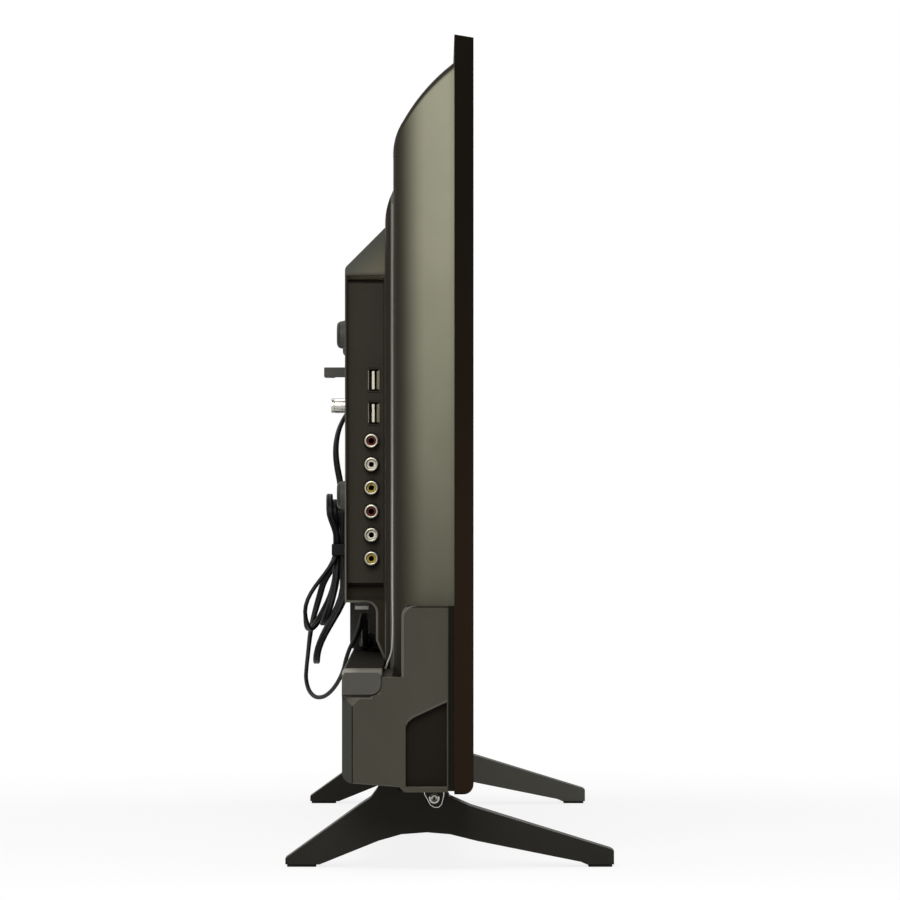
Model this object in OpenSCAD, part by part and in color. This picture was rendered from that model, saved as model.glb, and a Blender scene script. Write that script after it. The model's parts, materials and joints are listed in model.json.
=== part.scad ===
// Flat screen television of the 32 inch class on two splayed legs.
// X runs along the width, the screen faces -Y, and Z = 0 is the table that the legs stand on.

/* [Screen and bezel] */
// Width of the cabinet
tv_w = 732; // [726:1:740]
// Height of the cabinet
tv_h = 435; // [433:1:438]
// Height of the cabinet above the table
stand_h = 46; // [45:1:48]
// Thickness of the flat front slab
slab_t = 11; // [11:0.5:13]
// Width of the visible picture
picture_w = 698; // [690:1:700]
// Height of the visible picture
picture_h = 393; // [388:1:394]
// Height of the border above the picture
top_border = 14; // [13:1:16]

/* [Rear cover] */
// Distance from the edge of the slab to the foot of the bulge
foot_inset = 14.7; // [14:0.1:16]
// Depth of the bulge behind the slab
bulge_depth = 35.5; // [35.5:0.5:38]
// Height of the plateau on the bulge
plateau_h = 5.5; // [5:0.5:6]
// Half of the plateau's width
plateau_hw = 236; // [232:1:250]
// Depth of the electronics box behind the plateau
box_h = 24.5; // [24:0.5:27]
// Half of the electronics box's width
box_hw = 204; // [203:1:206]
// Wall of the mouldings
wall = 2.5; // [2.2:0.1:2.6]
// Cooling slots in the sloped top of the box
vents = 25; // [11:2:27]

/* [Ports] */
// Distance between neighbouring phono jacks
rca_pitch = 14.2; // [14:0.1:14.4]
// Distance between the two USB sockets
usb_pitch = 20; // [18:0.5:21]
// Width of the wall mount hole pattern
vesa_w = 200; // [200:100:200]
// Height of the wall mount hole pattern
vesa_h = 100; // [100:100:100]

/* [Stand] */
// Distance of each leg from the middle
leg_x = 295; // [290:1:300]
// Thickness of a leg at its neck
leg_t = 24; // [22:1:26]
// Distance from the front toe to the rear toe
leg_span = 192; // [188:1:200]

/* [Keys and speakers] */
// Distance between neighbouring keys
key_pitch = 15; // [14:0.5:15]
// Travel of a key
key_travel = 0.7; // [0.4:0.1:0.7]
// Distance of each speaker from the middle
speaker_x = 166; // [150:1:170]

/* [Power cord] */
// Width of the flat twin lead
cord_w = 4.2; // [4:0.1:4.4]
// Thickness of the flat twin lead
cord_t = 2.6; // [2.4:0.1:2.8]

/* [Hidden] */
$fn = 48;

// Main planes of the cabinet
half_w = tv_w / 2;
z_bot = stand_h;
z_top = stand_h + tv_h;
y_front = -13.5;
y_seam = y_front + slab_t;
y_back = y_seam + bulge_depth;
y_plateau = y_back + plateau_h;
y_box = y_plateau + box_h;
pic_top = z_top - top_border;
pic_bot = pic_top - picture_h;
pic_hw = picture_w / 2;

// Slab: rounded lower edge, sloped top edge, and the pocket behind the lip
slab_edge_r = 6;
slab_corner_r = 3;
top_slope = 2;
slab_wall = 3;
lip_t = 2.2;
y_lip = y_front + lip_t;
pocket_hw = half_w - slab_wall;
pocket_top = z_top - slab_wall - 1;
pocket_bot = z_bot + slab_wall;
remote_x = [243, 257];
remote_z = [54.5, 60];
remote_fit = 0.1;
remote_flange = 0.8;

// Screen stack behind the lip
cell_t = 1.4;
cell_margin = 3;
y_cell = y_lip + cell_t;
mid_lip_t = 1.2;
mid_margin = 8;
mid_skirt = 3.5;
y_mid = y_cell + mid_lip_t;
y_mid_end = y_seam - 2.2;
film_t = 0.4;
diffuser_t = 1.7;
y_diffuser = y_mid + film_t + diffuser_t;
film_margin = 7.5;
thin_board_t = 1.2;
source_hl = 160;
source_h = 12;
driver_x = [-120, -40, 40, 120];
driver_hl = 12;
ribbon_x = [-70, -44];
ribbon_t = 0.4;
ribbon_y = 27.6;
ribbon_z = [57, 168];
ribbon_tail = 9;

// Backlight pan: rim and floor of the pressed tray
pan_t = 0.7;
y_pan = 25;
pan_rim = [345, 79, 462];
pan_floor = [310, 110, 428];
pan_flange = 10.5;
bar_z = [150, 269, 388];
bar_hl = 300;
bar_h = 14;
bar_t = 1;
lens_r = 7.5;
lens_h = 6;
lens_step = 90;
reflector_t = 0.5;

// Bulge: two tangent arcs, from the foot's lean to upright
lean_foot = 35;
lean_mid = 60;
arc_ratio = 0.3;
bulge_r = bulge_depth / (sin(lean_mid) - sin(lean_foot) + arc_ratio * (1 - sin(lean_mid)));
arc_steps = 10;
z_split = 113.2;
rim_t = 2;
rim_gap = 0.3;

// Plateau and box on the back
plateau_top = 400;
plateau_roll = 21;
plateau_side_roll = 10;
plateau_step = 1.5;
box_top = 354;
box_slope = 45;
box_edge_r = 4;
z_shelf = 118;
z_box = z_shelf + 0.2;

// Bay under the box for the downward ports
bay_x = -19;
bay_top = 152;
bay_r = 6;
bay_back = 44.2;
bay_foot = 39.2;
vent_w = 3.2;
vent_pitch = 12;

// Recess for the side ports, with a ledge that carries the port plate
port_y0 = 39.6;
port_y1 = 61.6;
port_z0 = 153.8;
port_z1 = 349;
port_depth = 5;
plate_z0 = 163.8;
plate_z1 = 345;
plate_t = 1.8;
plate_gap = 0.1;
port_fit = 0.3;
ledge_w = 1;
x_plate = -box_hw + port_depth;
x_plate_back = x_plate + plate_t;
x_pocket = x_plate_back + 4;
pocket_wall = 1.5;

// Side ports
usb_y = 45.6;
usb_z = 286.4;
usb_shell = [7, 14.4];
usb_len = 14;
usb_t = 0.6;
rca_y = 47;
rca_z = 249.6;
rca_r = 4.2;
rca_bore_r = 3.5;
rca_out = 6.5;
rca_root_r = 3.95;
rca_collar_r = 4.9;
rca_collar_h = 1.6;
rca_pin_r = 1.6;
rca_fit = 0.03;
rca_count = 6;

// Downward ports in the ceiling of the bay
down_y = 53.4;
vga_x = -160;
hdmi_x = -132;
down_window = [-180, -120, 48, 59];

// Circuit boards behind the pan
y_board = 36;
board_t = 1.6;
y_parts = y_board + board_t;
main_pcb = [-192, -10, 160, 345];
power_pcb = [20, 180, 170, 330];
stud_r = 3;
stud_inset = 8;
stud_hole_r = 1.6;
chips = [[-120, 200, 18], [-40, 225, 12], [-45, 195, 12], [-150, 320, 9]];
chip_h = 1.4;
main_sink = [-90, -56, 205, 239];
power_sink = [28, 46, 190, 262];
sink_base = 3;
fin_t = 1.6;
core_xz = [112, 154, 236, 270];
winding_xz = [104, 162, 241, 265];
choke_xz = [70, 92, 190, 214];
capacitors = [[66, 300, 9], [90, 292, 7], [160, 200, 6], [160, 216, 6]];

// Aerial socket, cable clip and wall mount
aerial_x = -70;
aerial_z = 272.8;
aerial_r = 4.75;
aerial_len = 11;
aerial_nut = 2.2;
can_h = 15.4;
clip_x = [-93, -68];
clip_z = [290.2, 296.4];
clip_reach = 15;
clip_t = 4;
vesa_z = 266.5;
boss_h = 6.8;
boss_r = 9.4;
boss_tip_r = 8;
insert_r = 3.2;
insert_bore_r = 2;
insert_len = 12;
y_boss = y_box + boss_h;

// Lower housing
low_hw = 360;
low_lip_hw = 357.5;
low_y = 62;
y_low_lip = 1.1;
low_wall_end = 5;
low_top = 153.7;
low_tall_y = 27.8;
low_tall_r = 6;
low_groove_y = 38.8;
low_groove_z = 113;
low_r = 6;
low_edge_r = 3;
low_floor_z = 47;
low_step_y = [26, 29];
low_step_z = 50;
low_rear_z = 52;
tall_x = 295;
tall_gap = 0.4;
end_rib = 13;
post_r = 2.2;
post_out = 9.6;
window_y = [1.7, 25.4];
window_z = [50.2, 83.7, 98.6];
corner_cut = 6.3;
corner_cut_z = 101.3;
lip_gap = 1.7;
lip_corner_r = 6.5;
lip_y = low_groove_y + lip_corner_r;
lip_groove = 0.9;
slot_w = 3;
slot_pitch = 8;
slots = 9;
slot_y = [37, 54];

// Keys on the back of the lower housing
key_x = 233;
key_z = 86;
key_w = 10;
key_h = 6;
key_proud = 1.4;
key_gap = 0.35;
key_flange = 1.2;
switch_h = 4.3;
y_key_board = 50;

// Speakers
speaker_hl = 48;
speaker_y = [32, low_y - wall];
speaker_z = [58.2, 108];
speaker_wall = 2;
cone_hl = 37;
cone_hw = 9;
cone_gap = 1;
coil_r = 8.6;
cone_z = 59.6;

// Legs, as heights over the table along the depth
toe_rear = leg_span / 2;
toe_front = -leg_span / 2;
pad_h = 1.5;
screw_r = 1.95;
leg_screw_y = [9, 21];
bracket_t = 2.5;
bracket_y = 23;
bracket_top = 102;
lug_t = 4;
lug_y = [3.2, 15];
lug_eye = [9, 40.6];
cover_screw_xz = [[-285, 402], [0, 409], [285, 402], [-285, 265], [285, 265], [-285, 140], [285, 140]];

// Strain relief and lead: points as [x, y, z]
exit_x = -30;
grommet_start = [exit_x, 43.8, 298.1];
grommet_end = [exit_x, 56, 281];
grommet_axis = grommet_end - grommet_start;
grommet_turn = [-acos(grommet_axis[2] / norm(grommet_axis)), 0, 0];
grommet_r = 4.4;
grommet_tip_r = 2.9;
grommet_seat = 7;
pocket_x = 11;
pocket_y = 47;
pocket_z = [262, 304];
lead_route = [[-30, 56, 281], [-30, 59.5, 276.1], [-30, 63.4, 270.4], [-30, 67.2, 264.2], [-30, 70.1, 257.2],
    [-29.8, 71.6, 249.4], [-29.4, 71.8, 241.6], [-28.8, 70.9, 233.8], [-28.6, 69.4, 226], [-30, 68, 218.4]];

// Hank: loops drawn in at a waist, half of them in each layer, as distances from the waist
hank_x = -52;
waist_z = 182;
waist_half = 1.7;
hank_step = 3.5;
loop_low = [65, 65, 46, 46];
loop_up = 28;
hank_loops = len(loop_low);
belly_low = 27;
belly_up = 19;
layer_y = [66.4, 71.5];
hang_long = 17.2;
hang_spread = 2.8;
hang_short = [12, 21.5];
hang_reach = [72, 50, 42];
lift_layer = [1.1, -0.4];
lift_turn = 1.6;
lift_reach = 34;
loop_rings = 24;
start_turn = -0.1;
end_run = cord_w;

// Tail: from the waist, down in a long loop, up into the bay, and over a hump to the plug on the shelf
tail_route = [[-39.6, 75.4, 168], [-36.6, 79.6, 160.5], [-33.6, 81.9, 153], [-30.9, 84, 146],
    [-29, 86, 138.7], [-28.6, 87.7, 131], [-29.4, 88.8, 123], [-31.2, 89.6, 115], [-34, 90.4, 107],
    [-38, 90.6, 99.6], [-43.6, 88.6, 92.6], [-51, 84.4, 88.8], [-59.6, 79.2, 89.2], [-68.6, 74.6, 92.6],
    [-77.6, 70.8, 97.4], [-86.4, 67.8, 102.8], [-95, 65.6, 108.4], [-102.8, 63.9, 114.9], [-109, 61.4, 121.8],
    [-114.6, 58, 128], [-117.6, 55.2, 134.4], [-116, 53.4, 139.8], [-110.4, 52.7, 142.2],
    [-103.6, 52.6, 140.4], [-97.4, 52.6, 135.8], [-91.6, 52.6, 130.2], [-85.8, 52.6, 125.4],
    [-80, 52.6, 123.3], [-75, 52.6, 123.3]];
tail_turns = [12, 20, 25];
tie_h = 7;
tie_t = 0.8;
plug_x = -75;
plug_y = 52.6;
plug_len = 24;
plug_relief = 13;
plug_w = 16;
plug_h = 10.5;
blade_len = 16;
blade_t = 1.5;
blade_pitch = 8;
grip_r = 3;
grip_out = 1.6;

// Colours
black = "#1c1a17";
cover_grey = "#6a6654";
housing_grey = "#44423c";
leg_black = "#1e1c19";
metal = "#c9c7c2";
board_green = "#24513a";

// A profile in Y and Z, pulled along X
module along_x(x0, x1) {
    translate([x0, 0, 0]) rotate([90, 0, 90]) linear_extrude(x1 - x0) children();
}

// A profile in X and Z, pulled along Y
module along_y(y0, y1) {
    translate([0, y1, 0]) rotate([90, 0, 0]) linear_extrude(y1 - y0) children();
}

// A block between two corners
module block(a, b) {
    translate(a) cube(b - a);
}

// A round bar along Y
module bar_y(x, z, y0, y1, r) {
    translate([x, y0, z]) rotate([-90, 0, 0]) cylinder(h = y1 - y0, r = r);
}

// A round bar along X
module bar_x(y, z, x0, x1, r) {
    translate([x0, y, z]) rotate([0, 90, 0]) cylinder(h = x1 - x0, r = r);
}

// A flat outline with two round ends, centred
module stadium(hl, hw) {
    square([2 * (hl - hw), 2 * hw], center = true);
    for (s = [-1, 1]) translate([s * (hl - hw), 0]) circle(hw);
}

// Points on an arc
function arc(c, r, a0, a1, n) = [for (i = [0:n]) let (a = a0 + (a1 - a0) * i / n) c + r * [cos(a), sin(a)]];

// FRONT

module front_bezel() color(black) {
    profile = concat([[y_seam, z_bot], [y_seam, z_top], [y_front, z_top - top_slope]],
        arc([y_front + slab_edge_r, z_bot + slab_edge_r], slab_edge_r, 180, 270, 8));
    window_flare = lip_t;
    difference() {
        intersection() {
            along_x(-half_w, half_w) polygon(profile);
            along_y(y_front, y_seam) rounded_rect(-half_w, half_w, z_bot, z_top, slab_corner_r);
        }
        // picture window, flared towards the viewer
        intersection() {
            along_x(-half_w, half_w) polygon([[y_front - 1, pic_bot - window_flare - 1],
                [y_lip + 0.01, pic_bot], [y_lip + 0.01, pic_top], [y_front - 1, pic_top + window_flare + 1]]);
            linear_extrude(z_top) polygon([[-pic_hw - window_flare - 1, y_front - 1], [-pic_hw, y_lip + 0.01],
                [pic_hw, y_lip + 0.01], [pic_hw + window_flare + 1, y_front - 1]]);
        }
        block([-pocket_hw, y_lip, pocket_bot], [pocket_hw, y_seam + 1, pocket_top]);
        block([remote_x[0], y_front - 1, remote_z[0]], [remote_x[1], y_lip + 1, remote_z[1]]);
    }
}
module rounded_rect(x0, x1, z0, z1, r) {
    for (x = [x0 + r, x1 - r], z = [z0 + r, z1 - r]) translate([x, z]) circle(r);
    translate([x0 + r, z0]) square([x1 - x0 - 2 * r, z1 - z0]);
    translate([x0, z0 + r]) square([x1 - x0, z1 - z0 - 2 * r]);
}

module remote_window() color("#2a0d10") {
    fit = remote_fit;
    block([remote_x[0] + fit, y_front + 0.2, remote_z[0] + fit],
        [remote_x[1] - fit, y_lip, remote_z[1] - fit]);
    block([remote_x[0] - 1, y_lip, remote_z[0] - 1],
        [remote_x[1] + 1, y_lip + remote_flange, remote_z[1] + 1]);
}

module remote_board() color(board_green) {
    y0 = y_lip + remote_flange;
    y1 = y0 + thin_board_t;
    side = 4;
    block([remote_x[0] - side, y0, remote_z[0] - 3], [remote_x[1] + side, y1, pic_bot - mid_margin]);
    block([remote_x[0] + side, y1, remote_z[0]], [remote_x[1] - side, y1 + 1.8, remote_z[1]]);
}

// PANEL AND BACKLIGHT

module lcd_panel() color("#15171b")
    block([-pic_hw - cell_margin - 1, y_lip, pic_bot - cell_margin],
        [pic_hw + cell_margin + 1, y_cell, pic_top + cell_margin]);

module panel_mid_frame() color("#26262a") difference() {
    block([-pic_hw - mid_margin - 4, y_cell, pic_bot - mid_margin],
        [pic_hw + mid_margin + 4, y_mid_end, pic_top + mid_margin]);
    block([-pic_hw - 1, y_cell - 1, pic_bot - 1], [pic_hw + 1, y_mid + 1, pic_top + 1]);
    block([-pic_hw - mid_margin - 4 + mid_skirt, y_mid, pic_bot - mid_margin + mid_skirt - 1],
        [pic_hw + mid_margin + 4 - mid_skirt, y_mid_end + 1, pic_top + mid_margin - mid_skirt + 1]);
}

module diffuser_plate() color("#f2f2ee") {
    x = pic_hw + film_margin;
    z0 = pic_bot - film_margin + 3;
    z1 = pic_top + film_margin - 3;
    block([-x, y_mid, z0], [x, y_mid + film_t, z1]);
    block([-x, y_mid + film_t, z0], [x, y_diffuser, z1]);
}

// The tray's outline, drawn in by w
module pan_form(w) {
    y1 = y_pan - w;
    intersection() {
        along_x(-half_w, half_w) polygon([[y_diffuser, pan_rim[1] + w], [y1, pan_floor[1] + w],
            [y1, pan_floor[2] - w], [y_diffuser, pan_rim[2] - w]]);
        linear_extrude(z_top) polygon([[-pan_rim[0] + w, y_diffuser], [-pan_floor[0] + w, y1],
            [pan_floor[0] - w, y1], [pan_rim[0] - w, y_diffuser]]);
    }
}

module backlight_pan() color("#b9bcbd") {
    difference() {
        union() {
            pan_form(0);
            block([-pan_rim[0] - pan_flange, y_diffuser, pan_rim[1] - pan_flange + 1],
                [pan_rim[0] + pan_flange, y_diffuser + pan_t, pan_rim[2] + pan_flange - 1]);
        }
        pan_form(pan_t);
    }
    for (pcb = [main_pcb, power_pcb])
        for (x = [pcb[0] + stud_inset, pcb[1] - stud_inset], z = [pcb[2] + stud_inset, pcb[3] - stud_inset])
            bar_y(x, z, y_pan - 0.5, y_board, stud_r);
}

module reflector_sheet() color("#fbfbf8") difference() {
    pan_form(pan_t + bar_t);
    translate([0, -0.01, 0]) pan_form(pan_t + bar_t + reflector_t);
    at_lenses() bar_y(0, 0, y_pan - 5, y_pan, lens_r + 0.8);
}

module at_lenses()
    for (z = bar_z, x = [-3 * lens_step : lens_step : 3 * lens_step]) translate([x, 0, z]) children();

module led_bars() color("#e6e4da")
    for (z = bar_z)
        block([-bar_hl, y_pan - pan_t - bar_t, z - bar_h / 2], [bar_hl, y_pan - pan_t, z + bar_h / 2]);

module led_lenses() color("#dfe8ee") at_lenses()
    translate([0, y_pan - pan_t - bar_t, 0]) rotate([90, 0, 0]) difference() {
        rotate_extrude() intersection() {
            translate([0, lens_h - lens_r * 1.2]) circle(lens_r * 1.2);
            square([lens_r, lens_h]);
        }
        translate([0, 0, -1]) cylinder(h = 3, r = 2.6);
    }

module source_board() color(board_green) {
    z1 = pic_bot - mid_margin;
    block([-source_hl, y_mid, z1 - source_h], [source_hl, y_mid + thin_board_t, z1]);
    for (x = driver_x) block([x - driver_hl, y_mid - 0.5, z1 - 8], [x + driver_hl, y_mid, z1 - 2]);
}

module lvds_ribbon() color("#d8d8d2") {
    y0 = y_mid + thin_board_t;
    t = ribbon_t;
    along_x(ribbon_x[0], ribbon_x[1]) {
        translate([y0, ribbon_z[0]]) square([ribbon_y - y0, t]);
        translate([ribbon_y, ribbon_z[0]]) square([t, ribbon_z[1] - ribbon_z[0]]);
        translate([ribbon_y, ribbon_z[1] - t]) square([y_board - ribbon_y, t]);
        translate([y_board - t, ribbon_z[1] - t]) square([t, ribbon_tail]);
    }
}

// ELECTRONICS

module pcb(p) difference() {
    block([p[0], y_board, p[2]], [p[1], y_parts, p[3]]);
    for (x = [p[0] + stud_inset, p[1] - stud_inset], z = [p[2] + stud_inset, p[3] - stud_inset])
        bar_y(x, z, y_board - 1, y_parts + 1, stud_hole_r);
}

module main_board() color(board_green) {
    pcb(main_pcb);
    for (c = chips) let (half = c[2] / 2)
        block([c[0] - half, y_parts - 0.2, c[1] - half], [c[0] + half, y_parts + chip_h, c[1] + half]);
}

module power_board() color("#8a6a34") pcb(power_pcb);

// A block over a board, from a plan as [x0, x1, z0, z1]
module on_board(plan, from, to) {
    block([plan[0], y_parts + from, plan[2]], [plan[1], y_parts + to, plan[3]]);
}

// A finned block that stands on a board
module heatsink(plan, h, fins) {
    on_board(plan, 0, sink_base);
    step = (plan[1] - plan[0] - fin_t) / (fins - 1);
    for (i = [0:fins - 1]) let (x = plan[0] + i * step)
        on_board([x, x + fin_t, plan[2], plan[3]], sink_base - 0.5, h);
}

module heatsinks() color("#a9acae") {
    heatsink(main_sink, 11, 8);
    heatsink(power_sink, 16, 4);
}

module power_transformer() color("#c9a53c") {
    on_board(core_xz, 0, 18);
    on_board(winding_xz, 5, 13);
    on_board(choke_xz, 0, 14);
}

module power_capacitors() color("#20242c")
    for (c = capacitors) bar_y(c[0], c[1], y_parts, y_parts + 2 * c[2], c[2]);

module tuner_can() color(metal) difference() {
    block([aerial_x - 22, y_parts, aerial_z - 15], [aerial_x + 22, y_parts + can_h, aerial_z + 15]);
    for (x = [-14, 0, 14])
        translate([aerial_x + x, y_parts + can_h - 0.5, aerial_z + 9]) cube([6, 2, 3], center = true);
}

module antenna_socket() color(metal) difference() {
    y_nut = y_box + aerial_nut;
    union() {
        bar_y(aerial_x, aerial_z, y_parts + can_h, y_nut, aerial_r - 0.3);
        bar_y(aerial_x, aerial_z, y_nut, y_box + aerial_len, aerial_r);
        translate([aerial_x, y_box, aerial_z]) rotate([-90, 0, 0]) cylinder(h = aerial_nut, r = 6.4, $fn = 6);
    }
    bar_y(aerial_x, aerial_z, y_box + 2, y_box + aerial_len + 1, 3.4);
}

module antenna_insulator() color("#f0eee4") difference() {
    bar_y(aerial_x, aerial_z, y_box + 2, y_box + aerial_len - 1.2, 3.35);
    bar_y(aerial_x, aerial_z, y_box + 4, y_box + aerial_len, 0.9);
}

// SIDE AND LOWER PORTS

module at_usb() for (i = [0, 1]) translate([0, usb_y, usb_z - i * usb_pitch]) children();

module at_rca(from)
    for (i = [from : 3 : rca_count - 1]) translate([0, rca_y, rca_z - i * rca_pitch]) children();

module port_plates() color("#34302a") {
    difference() {
        block([x_plate, port_y0 + plate_gap, plate_z0], [x_plate_back, port_y1 - plate_gap, plate_z1]);
        at_usb() translate([x_plate, 0, 0])
            cube([2 * port_depth, usb_shell[0] + port_fit, usb_shell[1] + port_fit], center = true);
        for (i = [0 : 2]) at_rca(i) bar_x(0, 0, x_plate - 1, x_plate_back + 1, rca_collar_r + port_fit / 2);
    }
    difference() {
        block([down_window[0] - 4, down_window[2] - 1.5, bay_top + wall],
            [down_window[1] + 4, down_window[3] + 1, bay_top + wall + plate_t]);
        translate([vga_x, down_y, bay_top]) cube([17.8, 9.4, 20], center = true);
        translate([hdmi_x, down_y, bay_top]) cube([15.6, 6.2, 20], center = true);
    }
}

module usb_shells() color(metal) at_usb() difference() {
    half = usb_shell / 2;
    block([x_plate - 0.8, -half[0], -half[1]], [x_plate - 0.8 + usb_len, half[0], half[1]]);
    block([x_plate - 1.8, usb_t - half[0], usb_t - half[1]],
        [x_plate - 2.8 + usb_len, half[0] - usb_t, half[1] - usb_t]);
}

module usb_tongues() color("#ece9dc") at_usb()
    translate([x_plate + 0.4, 0.2, -5.6]) cube([usb_len - 3.2, 2, 11.2]);

module rca_housing() color("#1b1b1d") {
    x0 = x_plate_back + ledge_w + 0.2;
    z0 = rca_z - (rca_count - 1) * rca_pitch - 7.5;
    difference() {
        union() {
            block([x0, y_parts, z0], [x0 + 12, rca_y + 6, rca_z + 7.5]);
            block([x_plate_back, rca_y - 3.6, z0 + 1], [x0 + 1, rca_y + 6, rca_z + 6.5]);
        }
        for (i = [0 : 2]) at_rca(i) bar_x(0, 0, x_plate_back - 1, x0 + 6, rca_bore_r - 1.4);
    }
    // collars that stand through the plate round the barrels
    for (i = [0 : 2]) at_rca(i) difference() {
        bar_x(0, 0, x_plate - rca_collar_h, x_plate_back + 0.1, rca_collar_r);
        bar_x(0, 0, x_plate - 3, x_plate_back + 1, rca_root_r + rca_fit);
    }
}

module rca_barrels() color(metal) for (i = [0 : 2]) at_rca(i) difference() {
    union() {
        bar_x(0, 0, x_plate - rca_out, x_plate - rca_collar_h, rca_r);
        bar_x(0, 0, x_plate - rca_collar_h - 0.1, x_plate_back, rca_root_r);
    }
    bar_x(0, 0, x_plate - rca_out - 1, x_plate_back + 1, rca_bore_r);
}

// Moulded core inside a barrel
module rca_core() difference() {
    bar_x(0, 0, x_plate - rca_out + 0.8, x_plate_back, rca_bore_r - rca_fit);
    bar_x(0, 0, x_plate - rca_out, x_plate_back + 1, rca_pin_r);
}

module rca_cores_red() color("#a31c20") at_rca(0) rca_core();

module rca_cores_white() color("#e9e6dc") at_rca(1) rca_core();

module rca_cores_yellow() color("#d8b420") at_rca(2) rca_core();

module hdmi_socket() color(metal) {
    z0 = bay_top + 0.4;
    difference() {
        translate([hdmi_x - 7.5, down_y - 2.9, z0]) cube([15, 5.8, 13]);
        translate([hdmi_x - 7, down_y - 2.4, z0 - 1]) cube([14, 4.8, 12]);
    }
    translate([hdmi_x - 5.5, down_y - 0.7, z0 + 1]) cube([11, 1.4, 11]);
    block([hdmi_x - 6, y_parts, 160], [hdmi_x + 6, down_y - 2.9, z0 + 13]);
}

module vga_connector() color(metal) {
    z1 = bay_top + wall + plate_t;
    drop = 5;
    half = [8.3, 4.1];
    shell = [[-half[0], -half[1]], [half[0], -half[1]], [half[0] - 1.4, half[1]], [-half[0] + 1.4, half[1]]];
    translate([vga_x, down_y, bay_top - drop]) difference() {
        linear_extrude(z1 - bay_top + drop) polygon(shell);
        for (row = [-1, 0, 1], i = [-2 : 2])
            translate([i * 2.4 + row * 0.6, row * 2, -1]) cylinder(h = 3.5, r = 0.5);
    }
    block([vga_x - 12, y_parts, z1], [vga_x + 12, down_y + 4.1, z1 + 9]);
}

// SPEAKERS AND KEYS

module speaker_box(side) {
    x0 = side * speaker_x - speaker_hl;
    x1 = side * speaker_x + speaker_hl;
    w = speaker_wall;
    y_mid_box = (speaker_y[0] + speaker_y[1]) / 2;
    difference() {
        block([x0, speaker_y[0], speaker_z[0]], [x1, speaker_y[1], speaker_z[1]]);
        block([x0 + w, speaker_y[0] + w, speaker_z[0] + w], [x1 - w, speaker_y[1] - w, speaker_z[1] - w]);
        translate([side * speaker_x, y_mid_box, speaker_z[0] - 1]) linear_extrude(w + 2)
            stadium(cone_hl + cone_gap, cone_hw + cone_gap);
    }
}

module speaker_boxes() color("#17171a") for (s = [-1, 1]) speaker_box(s);

module speaker_magnets() color("#5c5e60") for (s = [-1, 1]) {
    y_mid_box = (speaker_y[0] + speaker_y[1]) / 2;
    translate([s * speaker_x, y_mid_box, 0]) {
        translate([-20, speaker_y[0] + speaker_wall - y_mid_box, 76])
            cube([40, speaker_y[1] - speaker_y[0] - 2 * speaker_wall, 2]);
        difference() {
            translate([0, 0, 67]) cylinder(h = 9.5, r = 11.4);
            translate([0, 0, 66]) difference() {
                cylinder(h = 8, r = coil_r + 0.6);
                translate([0, 0, -1]) cylinder(h = 10, r = coil_r - 1.6);
            }
        }
    }
}

module speaker_cone(side) {
    y_mid_box = (speaker_y[0] + speaker_y[1]) / 2;
    translate([side * speaker_x, y_mid_box, cone_z]) {
        linear_extrude(1.4) stadium(cone_hl, cone_hw);
        difference() {
            cylinder(h = 11, r = coil_r);
            translate([0, 0, 1.4]) cylinder(h = 12, r = coil_r - 1);
        }
    }
}

module speaker_cone_left() color("#2b2b2d") speaker_cone(-1);

module speaker_cone_right() color("#2b2b2d") speaker_cone(1);

module key_board() color(board_green) {
    x1 = key_x + 6 * key_pitch;
    block([key_x - 12, y_key_board, key_z - 7], [x1 + 12, y_key_board + board_t, key_z + 7]);
    for (i = [0:6]) {
        x = key_x + i * key_pitch;
        y0 = y_key_board + board_t - 0.1;
        block([x - 3, y0, key_z - 3], [x + 3, y_key_board + board_t + switch_h - 0.8, key_z + 3]);
        bar_y(x, key_z, y0, y_key_board + board_t + switch_h, 1.7);
    }
}

// One key: cap through the wall, flange behind it, and the stem that meets its switch
module key(i) color("#22211f") {
    x = key_x + i * key_pitch;
    y_in = low_y - wall - 0.3;
    y_tip = y_key_board + board_t + switch_h + key_travel + 0.1;
    translate([x, 0, key_z]) {
        along_y(y_in, low_y + key_proud) stadium(key_w / 2, key_h / 2);
        along_y(y_in - key_flange, y_in) stadium(key_w / 2 + 1.2, key_h / 2 + 1.2);
        bar_y(0, 0, y_tip, y_in - key_flange + 0.1, 1.5);
    }
}

module key_power() key(0);
module key_source() key(1);
module key_menu() key(2);
module key_channel_up() key(3);
module key_channel_down() key(4);
module key_volume_up() key(5);
module key_volume_down() key(6);

// REAR COVER

// The bulge's outline as [distance in from the foot, depth], drawn in by w
function bulge(w) = let (
    r2 = bulge_r * arc_ratio,
    c1 = bulge_r * [cos(lean_foot), -sin(lean_foot)],
    c2 = c1 + (bulge_r - r2) * [-cos(lean_mid), sin(lean_mid)]
) concat(
    arc_lean(c1, bulge_r - w, lean_foot, lean_mid),
    arc_lean(c2, r2 - w, lean_mid, 90)
);
function arc_lean(c, r, a0, a1) =
    [for (i = [0:arc_steps]) let (a = a0 + (a1 - a0) * i / arc_steps) c + r * [-cos(a), sin(a)]];

module bulge_form(w, z0) {
    outline = bulge(w);
    z_foot = z_top - foot_inset;
    x_foot = half_w - foot_inset;
    y_open = w > 0 ? y_seam - 5 : y_seam;
    side = [for (p = outline) [y_seam + p[1], z_foot - p[0]]];
    plan = [for (p = outline) [x_foot - p[0], y_seam + p[1]]];
    intersection() {
        along_x(-half_w, half_w)
            polygon(concat([[y_open, z0], [y_open, side[0][1]]], side, [[y_back - w, z0]]));
        translate([0, 0, z0]) linear_extrude(z_top - z0) union() {
            for (s = [0, 1]) mirror([s, 0])
                polygon(concat([[0, y_open], [plan[0][0], y_open]], plan, [[0, y_back - w]]));
        }
    }
}

// Radius of an arc that falls by h over a run
function fall_r(h, run) = (h * h + run * run) / (2 * h);

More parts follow.
